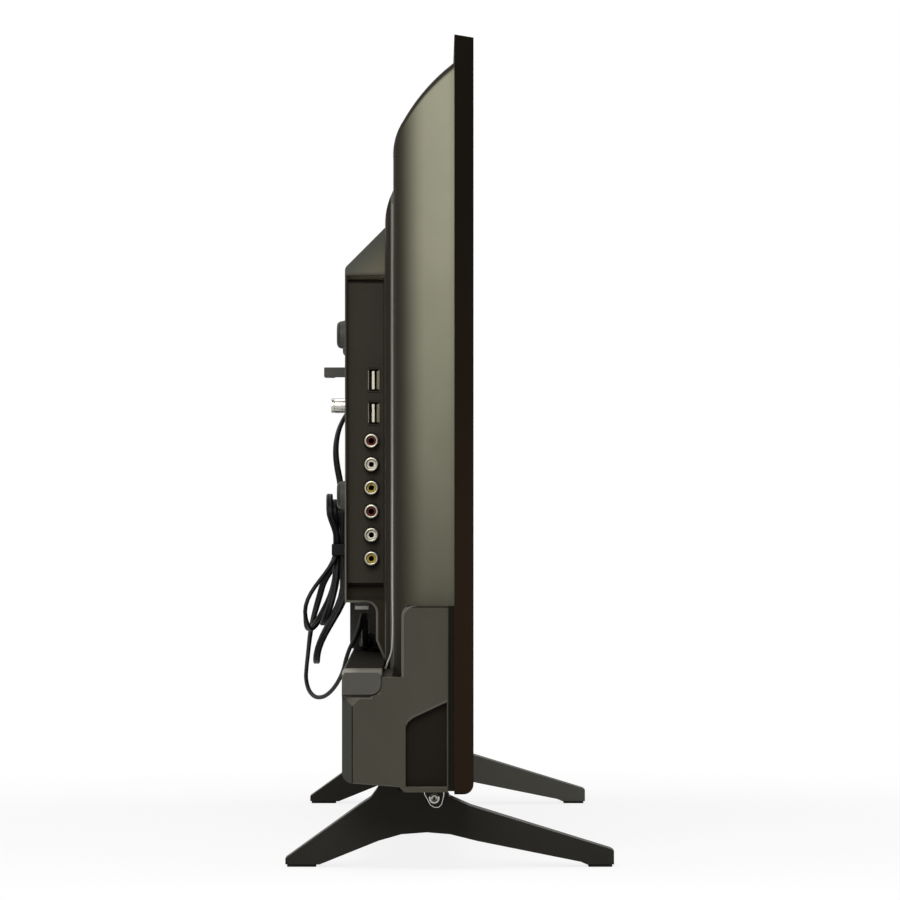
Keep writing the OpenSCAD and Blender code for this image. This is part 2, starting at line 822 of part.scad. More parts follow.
// The plateau rolls down to the bulge at its top, and to a small upright step at its sides
module plateau_form(w, z0) {
    r = fall_r(plateau_h, plateau_roll);
    rs = fall_r(plateau_h - plateau_step, plateau_side_roll);
    y0 = y_back - wall - 1;
    deep = 2 * plateau_h + 10;
    zc = plateau_top - plateau_roll;
    xc = plateau_hw - plateau_side_roll;
    intersection() {
        along_x(-half_w, half_w) intersection() {
            union() {
                translate([y_plateau - r, zc]) circle(r - w, $fn = 240);
                translate([y0, z0]) square([y_plateau - w - y0, zc - z0]);
            }
            translate([y0, z0]) square([deep, plateau_top - z0 + plateau_roll]);
        }
        translate([0, 0, z0]) linear_extrude(z_top) intersection() {
            union() {
                for (s = [-1, 1]) translate([s * xc, y_plateau - rs]) circle(rs - w, $fn = 120);
                translate([-xc, y0]) square([2 * xc, y_plateau - w - y0]);
            }
            translate([-plateau_hw + w, y0]) square([2 * (plateau_hw - w), deep]);
        }
    }
}

// The electronics box with its sloped top, less the bay under it and the cord's pocket
module box_form(w) {
    y1 = y_box - w;
    rise = y_box - y_plateau + 4;
    r = box_edge_r;
    z0 = z_box + w;
    y0 = y_back - 1;
    cut = w * (sqrt(2) - 1);
    edge = arc([y1 - r, box_top - cut - r * (sqrt(2) - 1)], r, 0, box_slope, 6);
    last = edge[6];
    difference() {
        along_x(-box_hw + w, box_hw - w)
            polygon(concat([[y0, z0], [y1, z0]], edge,
                [[last[0] - rise, last[1] + rise], [y0, last[1] + rise]]));
        along_x(-box_hw - 1, bay_x + w) polygon(concat([[y_box + 9, z_box - 9], [y_box + 9, bay_top + w]],
            arc([bay_back - w + bay_r, bay_top + w - bay_r], bay_r, 90, 180, 6),
            [[bay_back - w, z_box + 11], [bay_foot - w, z_box - 1], [bay_foot - w, z_box - 9]]));
        block([exit_x - pocket_x - w, pocket_y - w, pocket_z[0] - w],
            [exit_x + pocket_x + w, y_box + 9, pocket_z[1] + w]);
    }
}

module rear_cover() color(cover_grey) difference() {
    union() {
        difference() {
            union() {
                bulge_form(0, z_split);
                plateau_form(0, z_split);
                box_form(0);
                block([-pocket_hw + rim_gap, y_seam - rim_t, low_top + 0.5],
                    [pocket_hw - rim_gap, y_seam, pocket_top - rim_gap]);
            }
            bulge_form(wall, z_split - 1);
            plateau_form(wall, z_split - 1);
            box_form(wall);
        }
        // frame of the side port recess: a ledge behind the plate, and a deeper pocket over and under it
        difference() {
            union() {
                port_frame(port_z0, port_z1, x_plate_back + ledge_w);
                port_frame(port_z0, plate_z0, x_pocket + pocket_wall);
                port_frame(plate_z1, port_z1, x_pocket + pocket_wall);
            }
            block([x_plate_back - 1, port_y0 + ledge_w, plate_z0 + ledge_w],
                [x_pocket + 9, port_y1 - ledge_w, plate_z1 - ledge_w]);
        }
        at_vesa() {
            translate([0, y_box - 0.1, 0]) rotate([-90, 0, 0])
                cylinder(h = boss_h + 0.1, r1 = boss_r, r2 = boss_tip_r);
            bar_y(0, 0, y_boss - insert_len - 2, y_box, boss_tip_r);
        }
        at_cover_screws() bar_y(0, 0, y_back - 5, y_back - 1, 6);
    }
    block([-box_hw - 1, port_y0, port_z0], [x_plate_back, port_y1, port_z1]);
    block([x_plate_back - 1, port_y0, port_z0], [x_pocket, port_y1, plate_z0 - ledge_w]);
    block([x_plate_back - 1, port_y0, plate_z1 + ledge_w], [x_pocket, port_y1, port_z1]);
    block([down_window[0], down_window[2], bay_top - 1],
        [down_window[1], down_window[3], bay_top + wall + 1]);
    at_vesa() bar_y(0, 0, y_boss - insert_len, y_boss + 1, insert_r);
    at_cover_screws() {
        bar_y(0, 0, y_back - 2.5, y_back + 1, 4.4);
        bar_y(0, 0, y_back - 9, y_back, 1.9);
    }
    bar_y(aerial_x, aerial_z, y_box - 9, y_box + 1, aerial_r + 0.3);
    translate(grommet_start) rotate(grommet_turn) cylinder(h = grommet_seat + 5, r = grommet_r + 0.02);
    for (i = [-(vents - 1) / 2 : (vents - 1) / 2])
        translate([i * vent_pitch - vent_w / 2, y_plateau + 4, box_top - 6]) cube([vent_w, box_h - 9, 40]);
}

module port_frame(z0, z1, x1)
    block([-box_hw + 0.5, port_y0 - pocket_wall, z0 - pocket_wall], [x1, y_box - 1, z1 + pocket_wall]);

module at_vesa()
    for (x = [-1, 1], z = [-1, 1]) translate([x * vesa_w / 2, 0, vesa_z + z * vesa_h / 2]) children();

module at_cover_screws() for (p = cover_screw_xz) translate([p[0], 0, p[1]]) children();

module cover_screws() color("#2a2a2a") at_cover_screws() difference() {
    union() {
        bar_y(0, 0, y_back - 2.5, y_back - 0.6, 3.7);
        bar_y(0, 0, y_pan + 0.6, y_back - 2, 1.8);
    }
    translate([0, y_back - 0.6, 0]) cube([4.6, 2, 0.9], center = true);
    translate([0, y_back - 0.6, 0]) cube([0.9, 2, 4.6], center = true);
}

module vesa_inserts() color("#b79a55") at_vesa() difference() {
    bar_y(0, 0, y_boss - insert_len, y_boss, insert_r - 0.03);
    bar_y(0, 0, y_boss - insert_len - 1, y_boss + 1, insert_bore_r);
}

module cable_clip() color(black) {
    y1 = y_box + clip_reach;
    block([clip_x[0], y_box, clip_z[0]], [clip_x[0] + clip_t, y1, clip_z[1]]);
    block([clip_x[0], y1 - clip_t, clip_z[0]], [clip_x[1], y1, clip_z[1]]);
    block([clip_x[1] - 2, y1 - clip_t - 2.5, clip_z[0]], [clip_x[1], y1, clip_z[1]]);
}

// LOWER HOUSING

// Main outline in Y and Z, drawn in by w
module low_outline(w) {
    r = low_r - w;
    e = low_edge_r;
    z0 = low_floor_z + w;
    y_open = y_seam - 9;
    y_skin = y_back - wall - 0.2;
    z_open = z_shelf + 9;
    polygon(concat([[y_low_lip, z0], [low_step_y[0] - w, z0], [low_step_y[1] - w, low_step_z + w],
            [low_y - low_r, low_rear_z + w]],
        arc([low_y - low_r, low_rear_z + low_r], r, -90, 0, 6),
        w > 0 ? [[low_y - w, z_shelf - w], [low_groove_y + w, z_shelf - w],
            [low_groove_y + w, low_groove_z - w], [y_skin, low_groove_z - w], [y_skin, z_open],
            [y_open, z_open], [y_open, z0]]
        : concat(arc([low_y - e, z_shelf - e], e, 0, 90, 5), [[low_groove_y, z_shelf],
            [low_groove_y, low_groove_z], [y_low_lip, low_groove_z]])));
}

module low_tall_outline() polygon(concat([[y_low_lip, low_groove_z - 1], [low_tall_y, low_groove_z - 1]],
    arc([low_tall_y - low_tall_r, low_top - low_tall_r], low_tall_r, 0, 90, 5), [[y_low_lip, low_top]]));

// Window in an end wall, with a slanted top
module low_window() polygon([[window_y[0], window_z[0]], [window_y[1], window_z[0]],
    [window_y[1], window_z[1]], [window_y[1] - 1.4, window_z[1] + 3.3],
    [window_y[1] - 4.2, window_z[1] + 5.8], [window_y[0], window_z[2]]]);

// Groove round the front corner of the raised lip
module lip_corner() {
    c = [lip_y, corner_cut_z + lip_groove + lip_corner_r];
    y0 = low_groove_y;
    z1 = low_groove_z + 1;
    polygon(concat([[y0, z1]], arc(c, lip_corner_r, 180, 270, 8),
        arc(c, lip_corner_r - lip_groove, 270, 180, 8), [[y0 + lip_groove, z1]]));
}

module lower_housing() color(housing_grey) difference() {
    union() {
        difference() {
            union() {
                along_x(-low_hw, low_hw) low_outline(0);
                block([-low_lip_hw, y_seam, low_floor_z + 0.5], [low_lip_hw, y_low_lip + 1, z_split - 1]);
                block([-pocket_hw + rim_gap, y_seam - rim_t, pocket_bot + rim_gap],
                    [pocket_hw - rim_gap, y_seam, z_split - 1]);
            }
            along_x(-low_hw + low_wall_end, low_hw - low_wall_end) low_outline(wall);
        }
        // end blocks that fill the corners beside the bulge
        difference() {
            for (s = [0, 1]) mirror([s, 0, 0]) {
                along_x(tall_x, low_hw) low_tall_outline();
                block([tall_x, y_seam - rim_t, z_split - 2], [pocket_hw - rim_gap, y_seam, low_top]);
                block([tall_x, y_seam - 0.1, z_split - 2], [low_lip_hw, y_low_lip + 1, low_top]);
            }
            bulge_form(0, z_split - 9);
            translate([0, -tall_gap, 0]) bulge_form(-tall_gap, z_split - 9);
            block([-low_hw + end_rib, y_seam - 9, z_split - 9], [low_hw - end_rib, y_seam + 0.2, z_top]);
        }
        for (x = [key_x - post_out, key_x + 6 * key_pitch + post_out])
            bar_y(x, key_z, y_key_board + board_t, low_y - wall + 0.1, post_r);
    }
    for (s = [0, 1]) mirror([s, 0, 0]) {
        // chamfered rear corner that stops under the raised lip
        translate([low_hw, low_y, z_bot - 6]) rotate([0, 0, 45])
            translate([-corner_cut / sqrt(2), -20, 0]) cube([20, 40, corner_cut_z - z_bot + 6]);
        block([low_hw - 2.2, lip_y, corner_cut_z], [low_hw + 1, low_y + 1, corner_cut_z + lip_gap]);
        along_x(low_hw - 1.6, low_hw + 1) lip_corner();
        along_x(low_hw - low_wall_end - 1, low_hw + 1) low_window();
        for (i = [-(slots - 1) / 2 : (slots - 1) / 2]) let (x = speaker_x + i * slot_pitch)
            block([x - slot_w / 2, slot_y[0], z_bot], [x + slot_w / 2, slot_y[1], z_bot + 9]);
        at_leg_screws() cylinder(h = 30, r = screw_r + 0.25);
    }
    for (i = [0:6]) translate([key_x + i * key_pitch, 0, key_z])
        along_y(low_y - wall - 1, low_y + 1) stadium(key_w / 2 + key_gap, key_h / 2 + key_gap);
}

// STAND

module at_leg_screws() for (y = leg_screw_y) translate([leg_x, y, 30]) children();

module leg_outline() polygon([[toe_rear, pad_h], [toe_rear, 5], [52.3, 36.4], [46.2, 40.4], [42.2, 45.8],
    [40.5, 50.85], [29, 50], [26, 47], [3, 47], [-0.2, 41], [-12.2, 35.7], [toe_front + 1.7, 10.5],
    [toe_front, 9.5], [toe_front, pad_h], [-80.2, pad_h], [-76.8, 3], [-16.3, 15.3], [-0.2, 19.3],
    [13.3, 20.4], [28.1, 19.3], [41.5, 15.5], [76, pad_h]]);

// A leg seen from above: narrower towards its toes
module leg_plan() polygon([[-leg_t / 2, -4], [-leg_t / 2 + 3, toe_front], [leg_t / 2 - 3, toe_front],
    [leg_t / 2, -4], [leg_t / 2, 40], [leg_t / 2 - 3, toe_rear], [-leg_t / 2 + 3, toe_rear],
    [-leg_t / 2, 40]]);

module leg() difference() {
    intersection() {
        along_x(leg_x - leg_t, leg_x + leg_t) leg_outline();
        translate([leg_x, 0, 0]) linear_extrude(70) leg_plan();
    }
    at_leg_screws() {
        translate([0, 0, -12]) cylinder(h = 16, r = 4.6);
        cylinder(h = 30, r = screw_r + 0.25);
    }
}

module leg_left() color(leg_black) mirror([1, 0, 0]) leg();

module leg_right() color(leg_black) leg();

module foot_pads() color("#33322f") for (s = [-1, 1])
    for (y = [[toe_front + 1, -81], [78, toe_rear - 1]])
        block([s * leg_x - 8, y[0], 0], [s * leg_x + 8, y[1], pad_h]);

module leg_screws() color(metal) for (s = [0, 1]) mirror([s, 0, 0]) at_leg_screws() {
    translate([0, 0, 1]) cylinder(h = 3, r = 3.8);
    translate([0, 0, 3]) cylinder(h = 23, r = screw_r);
}

module leg_brackets() color("#141312") for (s = [0, 1]) mirror([s, 0, 0]) difference() {
    x1 = low_hw - low_wall_end;
    z0 = low_floor_z + wall;
    union() {
        block([leg_x - 12, 3, z0], [x1, bracket_y, z0 + bracket_t]);
        block([x1 - bracket_t, 0.5, z0], [x1, bracket_y, bracket_top]);
        block([x1 - bracket_t, bracket_y, z0 + 3.5], [x1, bracket_y + 4, bracket_top]);
    }
    at_leg_screws() cylinder(h = 30, r = screw_r + 0.04);
}

module leg_lugs() color(metal) for (s = [0, 1]) mirror([s, 0, 0]) difference() {
    x0 = leg_x + leg_t / 2;
    union() {
        along_x(x0, x0 + lug_t) polygon([[lug_y[0], low_floor_z], [lug_y[1], low_floor_z], [lug_y[1], 43],
            [11.4, 36.4], [9, 35], [6.4, 35], [4.4, 37], [lug_y[0], 42]]);
        block([x0, lug_y[0], low_floor_z - 2], [x0 + 9, lug_y[1], low_floor_z]);
        bar_x(lug_eye[0], lug_eye[1], x0 + lug_t - 0.1, x0 + lug_t + 1.6, 2.6);
    }
    bar_x(lug_eye[0], lug_eye[1], x0 + lug_t + 0.6, x0 + lug_t + 3, 1.3);
}

// POWER CORD

module cord_grommet() color(black) {
    rib_gap = 1.2;
    translate(grommet_start) rotate(grommet_turn) difference() {
        union() {
            cylinder(h = grommet_seat, r = grommet_r);
            translate([0, 0, grommet_seat])
                cylinder(h = norm(grommet_axis) - grommet_seat, r1 = grommet_r, r2 = grommet_tip_r);
        }
        for (i = [0:2]) translate([0, 0, grommet_seat + 3.5 + 3.2 * i]) difference() {
            cylinder(h = rib_gap, r = 2 * grommet_r);
            cylinder(h = rib_gap, r = 3.3 - 0.2 * i);
        }
    }
}

// One loop of the hank at turn s, as [across, down] from the waist, before it is spread
function loop_base(s, low) = let (
    a = 360 * s,
    l = sin(a) > 0 ? low : loop_up,
    b = sin(a) > 0 ? belly_low : belly_up
) [(waist_half + b * sin(a) * sin(a)) * cos(a), -l * sin(a)];

function mix(a, b, t) = a + (b - a) * t;

function ease(t) = let (u = min(1, max(0, t))) u * u * (3 - 2 * u);

// How far turn s has climbed from the first layer to the second
function climb(s) = ease((s - hank_loops / 2) * 4 + 0.5);

function fan(drop, reach) = let (u = drop / reach) u * u / (u + 0.25) * 1.25;

// A bell over 0 to 1 that peaks at 1
function bell(u) = 28.9 * u * u * pow(1 - u, 3);

// Stand-off below the waist: the long loops part a little, and the last short one bows out on its way back up
function hang(s, drop, t) = let (
    u = min(1, drop / hang_reach[0]),
    long = hang_long * fan(drop, hang_reach[0]) - hang_spread * (1 - 2 * s / hank_loops) * bell(u),
    back = (1 - cos(360 * s)) / 2 * ease(s - hank_loops + 1.5),
    short = mix(hang_short[0] * fan(drop, hang_reach[1]), hang_short[1] * ease(drop / hang_reach[2]), back)
) mix(long, short, t);

// Stand-off above the waist: each loop leans out a little more than the one before
function lift(s, rise, t) =
    (mix(lift_layer[0], lift_layer[1], t) + lift_turn * (s - hank_loops / 2)) * pow(rise / lift_reach, 2);

// Loops lie side by side, a step apart, spiralling in through one layer and out through the other
function hank_point(s) = let (
    t = climb(s),
    low = loop_low[min(hank_loops - 1, max(0, floor(s)))],
    d = 0.0005,
    p = loop_base(s, low),
    q = loop_base(s + d, low) - loop_base(s - d, low),
    out = [-q[1], q[0]] / norm(q),
    w = p + out * hank_step * abs(hank_loops / 2 - s),
    off = w[1] < 0 ? hang(s, -w[1], t) : lift(s, w[1], t)
) [hank_x + w[0], mix(layer_y[0], layer_y[1], t) + off, waist_z + w[1]];

hank_turns = [for (i = [0 : loop_rings * hank_loops])
    mix(start_turn, hank_loops, i / (loop_rings * hank_loops))];
hank_core = [for (s = hank_turns) hank_point(s)];
hank_last = len(hank_core) - 1;
hank_in = unit(hank_point(start_turn + 0.001) - hank_core[0]);
hank_out = unit(hank_core[hank_last] - hank_point(hank_loops - 0.001));
hank_start = hank_core[0] - end_run * hank_in;
hank_end = hank_core[hank_last] + end_run * hank_out;
hank_path = concat([hank_start], hank_core, [hank_end]);

function unit(v) = v / norm(v);

function tangent(p, i) = unit(p[min(i + 1, len(p) - 1)] - p[max(i - 1, 0)]);

// Least distance between runs of the hank that are not neighbours, less the cord between them
hank_fine = [for (i = [0 : 4 * loop_rings * hank_loops])
    hank_point(mix(start_turn, hank_loops, i / (4 * loop_rings * hank_loops)))];
function apart(a, b) = let (d = a - b, flat = [d[0], d[2]])
    max(norm(flat) - cord_t, abs(d[1]) - cord_w);
hank_gap = min([for (i = [0 : len(hank_fine) - 1]) for (j = [i + 16 : 1 : len(hank_fine) - 1])
    apart(hank_fine[i], hank_fine[j])]);
echo(hank_gap_mm = hank_gap);

// A flat tube swept along points; wide[i] is the direction of its width at point i
module flat_tube(path, wide, sides) {
    n = len(path);
    points = [for (i = [0 : n - 1]) let (
        t = tangent(path, i),
        u = unit(wide[i] - (wide[i] * t) * t),
        v = cross(t, u)
    ) for (k = [0 : sides - 1]) let (a = 360 * k / sides)
        path[i] + u * cord_w / 2 * cos(a) + v * cord_t / 2 * sin(a)];
    walls = [for (i = [0 : n - 2]) for (k = [0 : sides - 1]) let (
        a = i * sides + k,
        b = i * sides + (k + 1) % sides
    ) each [[a, a + sides, b], [b, a + sides, b + sides]]];
    last = (n - 1) * sides;
    caps = [for (k = [1 : sides - 2]) each [[0, k, k + 1], [last, last + k + 1, last + k]]];
    polyhedron(points, concat(walls, caps));
}

// Width directions that turn from a to b along a path of n points
function turning(a, b, n) = [for (i = [0 : n - 1]) unit(mix(a, b, ease(i / (n - 1))))];

lead_path = concat(lead_route, [hank_start - 4 * hank_in, hank_start]);
tail_path = concat([hank_end], [hank_end + 4 * hank_out], tail_route);

module power_cord_lead() color("#121212")
    flat_tube(lead_path, turning([1, 0, 0], [0, 1, 0], len(lead_path)), 8);

module power_cord_hank() color("#121212")
    flat_tube(hank_path, [for (p = hank_path) [0, 1, 0]], 6);

module power_cord_tail() color("#121212")
    flat_tube(tail_path, concat(
        turning([0, 1, 0], [1, 0, 0], tail_turns[0]),
        [for (i = [tail_turns[0] : tail_turns[1] - 1]) [1, 0, 0]],
        turning([1, 0, 0], [0, -1, 0], tail_turns[2] - tail_turns[1]),
        [for (i = [tail_turns[2] : len(tail_path) - 1]) [0, -1, 0]]), 8);

module cord_tie() color("#2a2a2c") {
    hw = waist_half + hank_step * hank_loops / 2 + cord_t / 2 + 0.5;
    y0 = layer_y[0] - cord_w / 2 - 0.3;
    y1 = layer_y[1] + cord_w / 2 + 0.5;
    difference() {
        block([hank_x - hw - tie_t, y0 - tie_t, waist_z - tie_h / 2],
            [hank_x + hw + tie_t, y1 + tie_t, waist_z + tie_h / 2]);
        block([hank_x - hw, y0, waist_z - tie_h], [hank_x + hw, y1, waist_z + tie_h]);
    }
}

module power_plug() color("#141414") {
    z0 = z_shelf + 0.05;
    x0 = plug_x + plug_relief;
    translate([plug_x, plug_y, z0 + plug_h / 2]) rotate([0, 90, 0])
        cylinder(h = plug_relief + 1, r1 = 2.7, r2 = plug_h / 2 - 0.4);
    difference() {
        along_x(x0, x0 + plug_len)
            translate([plug_y, z0 + plug_h / 2]) stadium(plug_w / 2, plug_h / 2 - 0.01);
        for (s = [-1, 1]) translate([x0 + plug_len / 2, plug_y + s * (plug_w / 2 + grip_out), z0])
            cylinder(h = plug_h, r = grip_r);
    }
}

module plug_blades() color(metal) for (s = [-1, 1]) {
    x0 = plug_x + plug_relief + plug_len;
    y = plug_y + s * blade_pitch / 2;
    block([x0, y - blade_t / 2, z_shelf + 2.1], [x0 + blade_len, y + blade_t / 2, z_shelf + 8.4]);
}

front_bezel();
lcd_panel();
panel_mid_frame();
diffuser_plate();
reflector_sheet();
led_bars();
led_lenses();
backlight_pan();
source_board();
lvds_ribbon();
main_board();
heatsinks();
tuner_can();
antenna_socket();
antenna_insulator();
usb_shells();
usb_tongues();
rca_housing();
rca_barrels();
rca_cores_red();
rca_cores_white();
rca_cores_yellow();
hdmi_socket();
vga_connector();
power_board();
power_transformer();
power_capacitors();
speaker_boxes();
speaker_magnets();
speaker_cone_left();
speaker_cone_right();
key_board();
key_power();
key_source();
key_menu();
key_channel_up();
key_channel_down();
key_volume_up();
key_volume_down();
remote_board();
remote_window();
rear_cover();
lower_housing();
port_plates();
vesa_inserts();
cover_screws();
cable_clip();
leg_left();
leg_right();
foot_pads();
leg_lugs();
leg_screws();
leg_brackets();
cord_grommet();
power_cord_lead();
power_cord_hank();
power_cord_tail();
cord_tie();
power_plug();
plug_blades();
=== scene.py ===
import json
import math

import bmesh
import bpy
from mathutils import Matrix, Vector


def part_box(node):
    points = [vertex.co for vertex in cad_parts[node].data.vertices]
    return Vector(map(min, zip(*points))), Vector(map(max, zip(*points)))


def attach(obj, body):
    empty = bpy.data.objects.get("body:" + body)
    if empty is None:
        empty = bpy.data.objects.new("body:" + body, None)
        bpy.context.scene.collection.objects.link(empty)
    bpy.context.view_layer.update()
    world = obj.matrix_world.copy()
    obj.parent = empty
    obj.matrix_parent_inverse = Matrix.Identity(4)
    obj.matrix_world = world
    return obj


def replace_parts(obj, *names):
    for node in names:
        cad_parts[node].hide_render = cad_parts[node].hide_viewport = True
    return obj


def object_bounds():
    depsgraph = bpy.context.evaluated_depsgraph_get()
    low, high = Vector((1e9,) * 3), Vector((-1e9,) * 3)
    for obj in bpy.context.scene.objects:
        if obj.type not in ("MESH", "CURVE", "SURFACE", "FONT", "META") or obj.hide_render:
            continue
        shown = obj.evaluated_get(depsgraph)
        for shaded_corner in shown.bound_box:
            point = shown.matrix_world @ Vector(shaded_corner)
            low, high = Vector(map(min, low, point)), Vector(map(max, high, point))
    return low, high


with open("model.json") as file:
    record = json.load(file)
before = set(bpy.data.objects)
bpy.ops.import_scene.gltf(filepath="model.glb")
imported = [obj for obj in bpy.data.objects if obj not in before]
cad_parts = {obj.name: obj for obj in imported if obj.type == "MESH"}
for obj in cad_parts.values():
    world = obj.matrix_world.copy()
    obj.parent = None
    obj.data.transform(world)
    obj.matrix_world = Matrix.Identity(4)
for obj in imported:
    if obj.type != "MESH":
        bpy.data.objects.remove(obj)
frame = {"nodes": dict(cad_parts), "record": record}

cad_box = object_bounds()
scene = bpy.context.scene

# Studio: a pale floor that fades into a white surround, a soft lamp on the camera's side, and wide lamps
# behind, above and in front. The camera stands 3.3 m off the port side, about level with the set's middle.
scene.view_settings.view_transform = "Standard"
MM = 0.001
CAMERA_PLACE = (-3.3, 0.0074, 0.226)
CAMERA_LENS, CAMERA_SENSOR, CAMERA_REACH = 205.24, 36, 50
CAMERA_SHIFT = (0.01444, 0.0333)
WHITE = (1, 1, 1, 1)
AMBIENT = 0.28
FLOOR_SIZE, FLOOR_DROP = 6.0, 0.1 * MM
FLOOR_WHITE = (0.86, 0.86, 0.85, 1)
FLOOR_GLOW, FADE_START, FADE_END = 0.82, 0.25, 0.8
# Each lamp's place, its size in metres and its watts
LAMPS = {
    "lamp_key": ((-1.5, 0.15, 1.0), 0.8, 19),
    "lamp_rear": ((0.2, 2.4, 1.2), 1.6, 22),
    "lamp_top": ((0.3, 0.0, 2.6), 1.6, 12),
    "lamp_front": ((0.8, -2.4, 1.2), 1.8, 30),
}


class Paint:
    """A socket in a node tree: sums on it add Math nodes, and node() adds any other."""

    def __init__(self, tree, socket):
        self.tree = tree
        self.socket = socket

    def node(self, kind, settings=None, links=None, out=0):
        made = self.tree.nodes.new("ShaderNode" + kind)
        for name, value in (settings or {}).items():
            setattr(made, name, value)
        for name, value in (links or {}).items():
            if isinstance(value, Paint):
                self.tree.links.new(value.socket, made.inputs[name])
            else:
                made.inputs[name].default_value = value
        return Paint(self.tree, made.outputs[out])

    def sum(self, operation, a, b):
        return self.node("Math", {"operation": operation}, {0: a, 1: b})

    def __add__(self, other):
        return self.sum("ADD", self, other)

    def __radd__(self, other):
        return self.sum("ADD", other, self)

    def __sub__(self, other):
        return self.sum("SUBTRACT", self, other)

    def __rsub__(self, other):
        return self.sum("SUBTRACT", other, self)

    def __mul__(self, other):
        return self.sum("MULTIPLY", self, other)

    def __rmul__(self, other):
        return self.sum("MULTIPLY", other, self)

    def __gt__(self, other):
        return self.sum("GREATER_THAN", self, other)

    def __abs__(self):
        return self.node("Math", {"operation": "ABSOLUTE"}, {0: self})

    def axis(self, k):
        return self.node("SeparateXYZ", links={"Vector": self}, out=k)

    def either(self, other):
        return self.sum("MAXIMUM", self, other)

    def within(self, low, high):
        return (self > low) * (1 - (self > high))

    def ramp(self, low, high):
        limits = {"Value": self, "From Min": low, "From Max": high}
        return self.node("MapRange", {"interpolation_type": "SMOOTHSTEP"}, limits)

    def between(self, colour_a, colour_b):
        return self.node("Mix", {"data_type": "RGBA"}, {0: self, 6: colour_a, 7: colour_b}, out=2)


def seen_directly(tree):
    """1 where a surface is seen straight, mirrored or through glass, and 0 where it only gives light."""
    path = tree.nodes.new("ShaderNodeLightPath").outputs
    camera, glossy, through = (
        Paint(tree, path[name]) for name in ("Is Camera Ray", "Is Glossy Ray", "Is Transmission Ray")
    )
    return camera.either(glossy).either(through)


surround = bpy.data.worlds.new("surround")
scene.world = surround
surround.use_nodes = True
background = surround.node_tree.nodes["Background"]
background.inputs["Color"].default_value = WHITE
level = AMBIENT + (1 - AMBIENT) * seen_directly(surround.node_tree)
surround.node_tree.links.new(level.socket, background.inputs["Strength"])

grid = bmesh.new()
bmesh.ops.create_grid(grid, x_segments=4, y_segments=4, size=FLOOR_SIZE / 2)
bmesh.ops.translate(grid, verts=grid.verts, vec=(0, 0, -FLOOR_DROP))
floor_mesh = bpy.data.meshes.new("floor")
grid.to_mesh(floor_mesh)
grid.free()
floor = bpy.data.objects.new("floor", floor_mesh)
scene.collection.objects.link(floor)
floor_white = bpy.data.materials.new("floor_white")
floor_white.use_nodes = True
floor_tree = floor_white.node_tree
floor_tree.nodes.remove(floor_tree.nodes["Principled BSDF"])
place = Paint(floor_tree, floor_tree.nodes.new("ShaderNodeTexCoord").outputs["Object"])
reach = place.node("VectorMath", {"operation": "LENGTH"}, {0: place}, out=1)
fade = seen_directly(floor_tree) * (FLOOR_GLOW + (1 - FLOOR_GLOW) * reach.ramp(FADE_START, FADE_END))
matt = place.node("BsdfDiffuse", links={"Color": FLOOR_WHITE})
glow = place.node("Emission", links={"Color": WHITE, "Strength": 1.0})
mixed = place.node("MixShader", links={0: fade, 1: matt, 2: glow})
floor_tree.links.new(mixed.socket, floor_tree.nodes["Material Output"].inputs["Surface"])
floor_mesh.materials.append(floor_white)

middle = (cad_box[0] + cad_box[1]) / 2
for name, (lamp_place, lamp_size, watts) in LAMPS.items():
    data = bpy.data.lights.new(name, "AREA")
    data.size = lamp_size
    data.energy = watts
    lamp = bpy.data.objects.new(name, data)
    lamp.location = lamp_place
    lamp.rotation_euler = (middle - Vector(lamp_place)).to_track_quat("-Z", "Y").to_euler()
    scene.collection.objects.link(lamp)

camera_data = bpy.data.cameras.new("camera")
camera_data.sensor_width = CAMERA_SENSOR
camera_data.lens = CAMERA_LENS
camera_data.shift_x, camera_data.shift_y = CAMERA_SHIFT
camera_data.clip_end = CAMERA_REACH
camera = bpy.data.objects.new("camera", camera_data)
camera.location = CAMERA_PLACE
camera.rotation_euler = (math.pi / 2, 0, -math.pi / 2)
scene.collection.objects.link(camera)
scene.camera = camera

# Slab: one satin black moulding that frames the panel, with a sloped top edge and a rolled lower edge.
# The panel sits behind its lip, and a small tinted window for the remote control sits in its lower rail.
BEZEL_BLACK, BEZEL_BROWN = "120f0b", "211912"
BEZEL_FADE, BEZEL_SIDE = (0.1, 0.42), 365 * MM
BEZEL_EDGE = 0.7 * MM
SCREEN_BLACK, BORDER_BLACK = "111317", "060606"
PICTURE_HALF, PICTURE_Z = 348.5 * MM, (75.5 * MM, 467.5 * MM)
WINDOW_RED = "1c0508"
GRAIN, CLOUD, RUB = 1900, 24, 60
GRAIN_DEPTH, SCREEN_DEPTH = 0.1 * MM, 0.02 * MM
SCREEN_GRAIN = 5200
SHARP = math.radians(30)
MERGE_GAP, FLAT_ANGLE = 0.01 * MM, math.radians(0.5)


def tone(code, shade=1.0):
    """An sRGB hex code as a linear colour, darkened or lightened by shade."""
    channels = [int(code[i : i + 2], 16) / 255 for i in (0, 2, 4)]
    linear = [c / 12.92 if c < 0.04045 else ((c + 0.055) / 1.055) ** 2.4 for c in channels]
    return (*(min(1, shade * c) for c in linear), 1)


def blank_finish(name, **constants):
    """A new material, its shader with some sockets set, and a Paint of the object's own coordinates."""
    finish = bpy.data.materials.new(name)
    finish.use_nodes = True
    tree = finish.node_tree
    shader = tree.nodes["Principled BSDF"]
    for socket, value in constants.items():
        shader.inputs[socket.replace("_", " ")].default_value = value
    place = Paint(tree, tree.nodes.new("ShaderNodeTexCoord").outputs["Object"])
    return finish, shader, place


def feed(shader, **paints):
    for socket, paint in paints.items():
        paint.tree.links.new(paint.socket, shader.inputs[socket.replace("_", " ")])


def noise(place, scale, detail=2.0, stretch=(1, 1, 1)):
    stretched = place.node("Mapping", links={"Vector": place, "Scale": stretch})
    return place.node("TexNoise", links={"Vector": stretched, "Scale": scale, "Detail": detail})


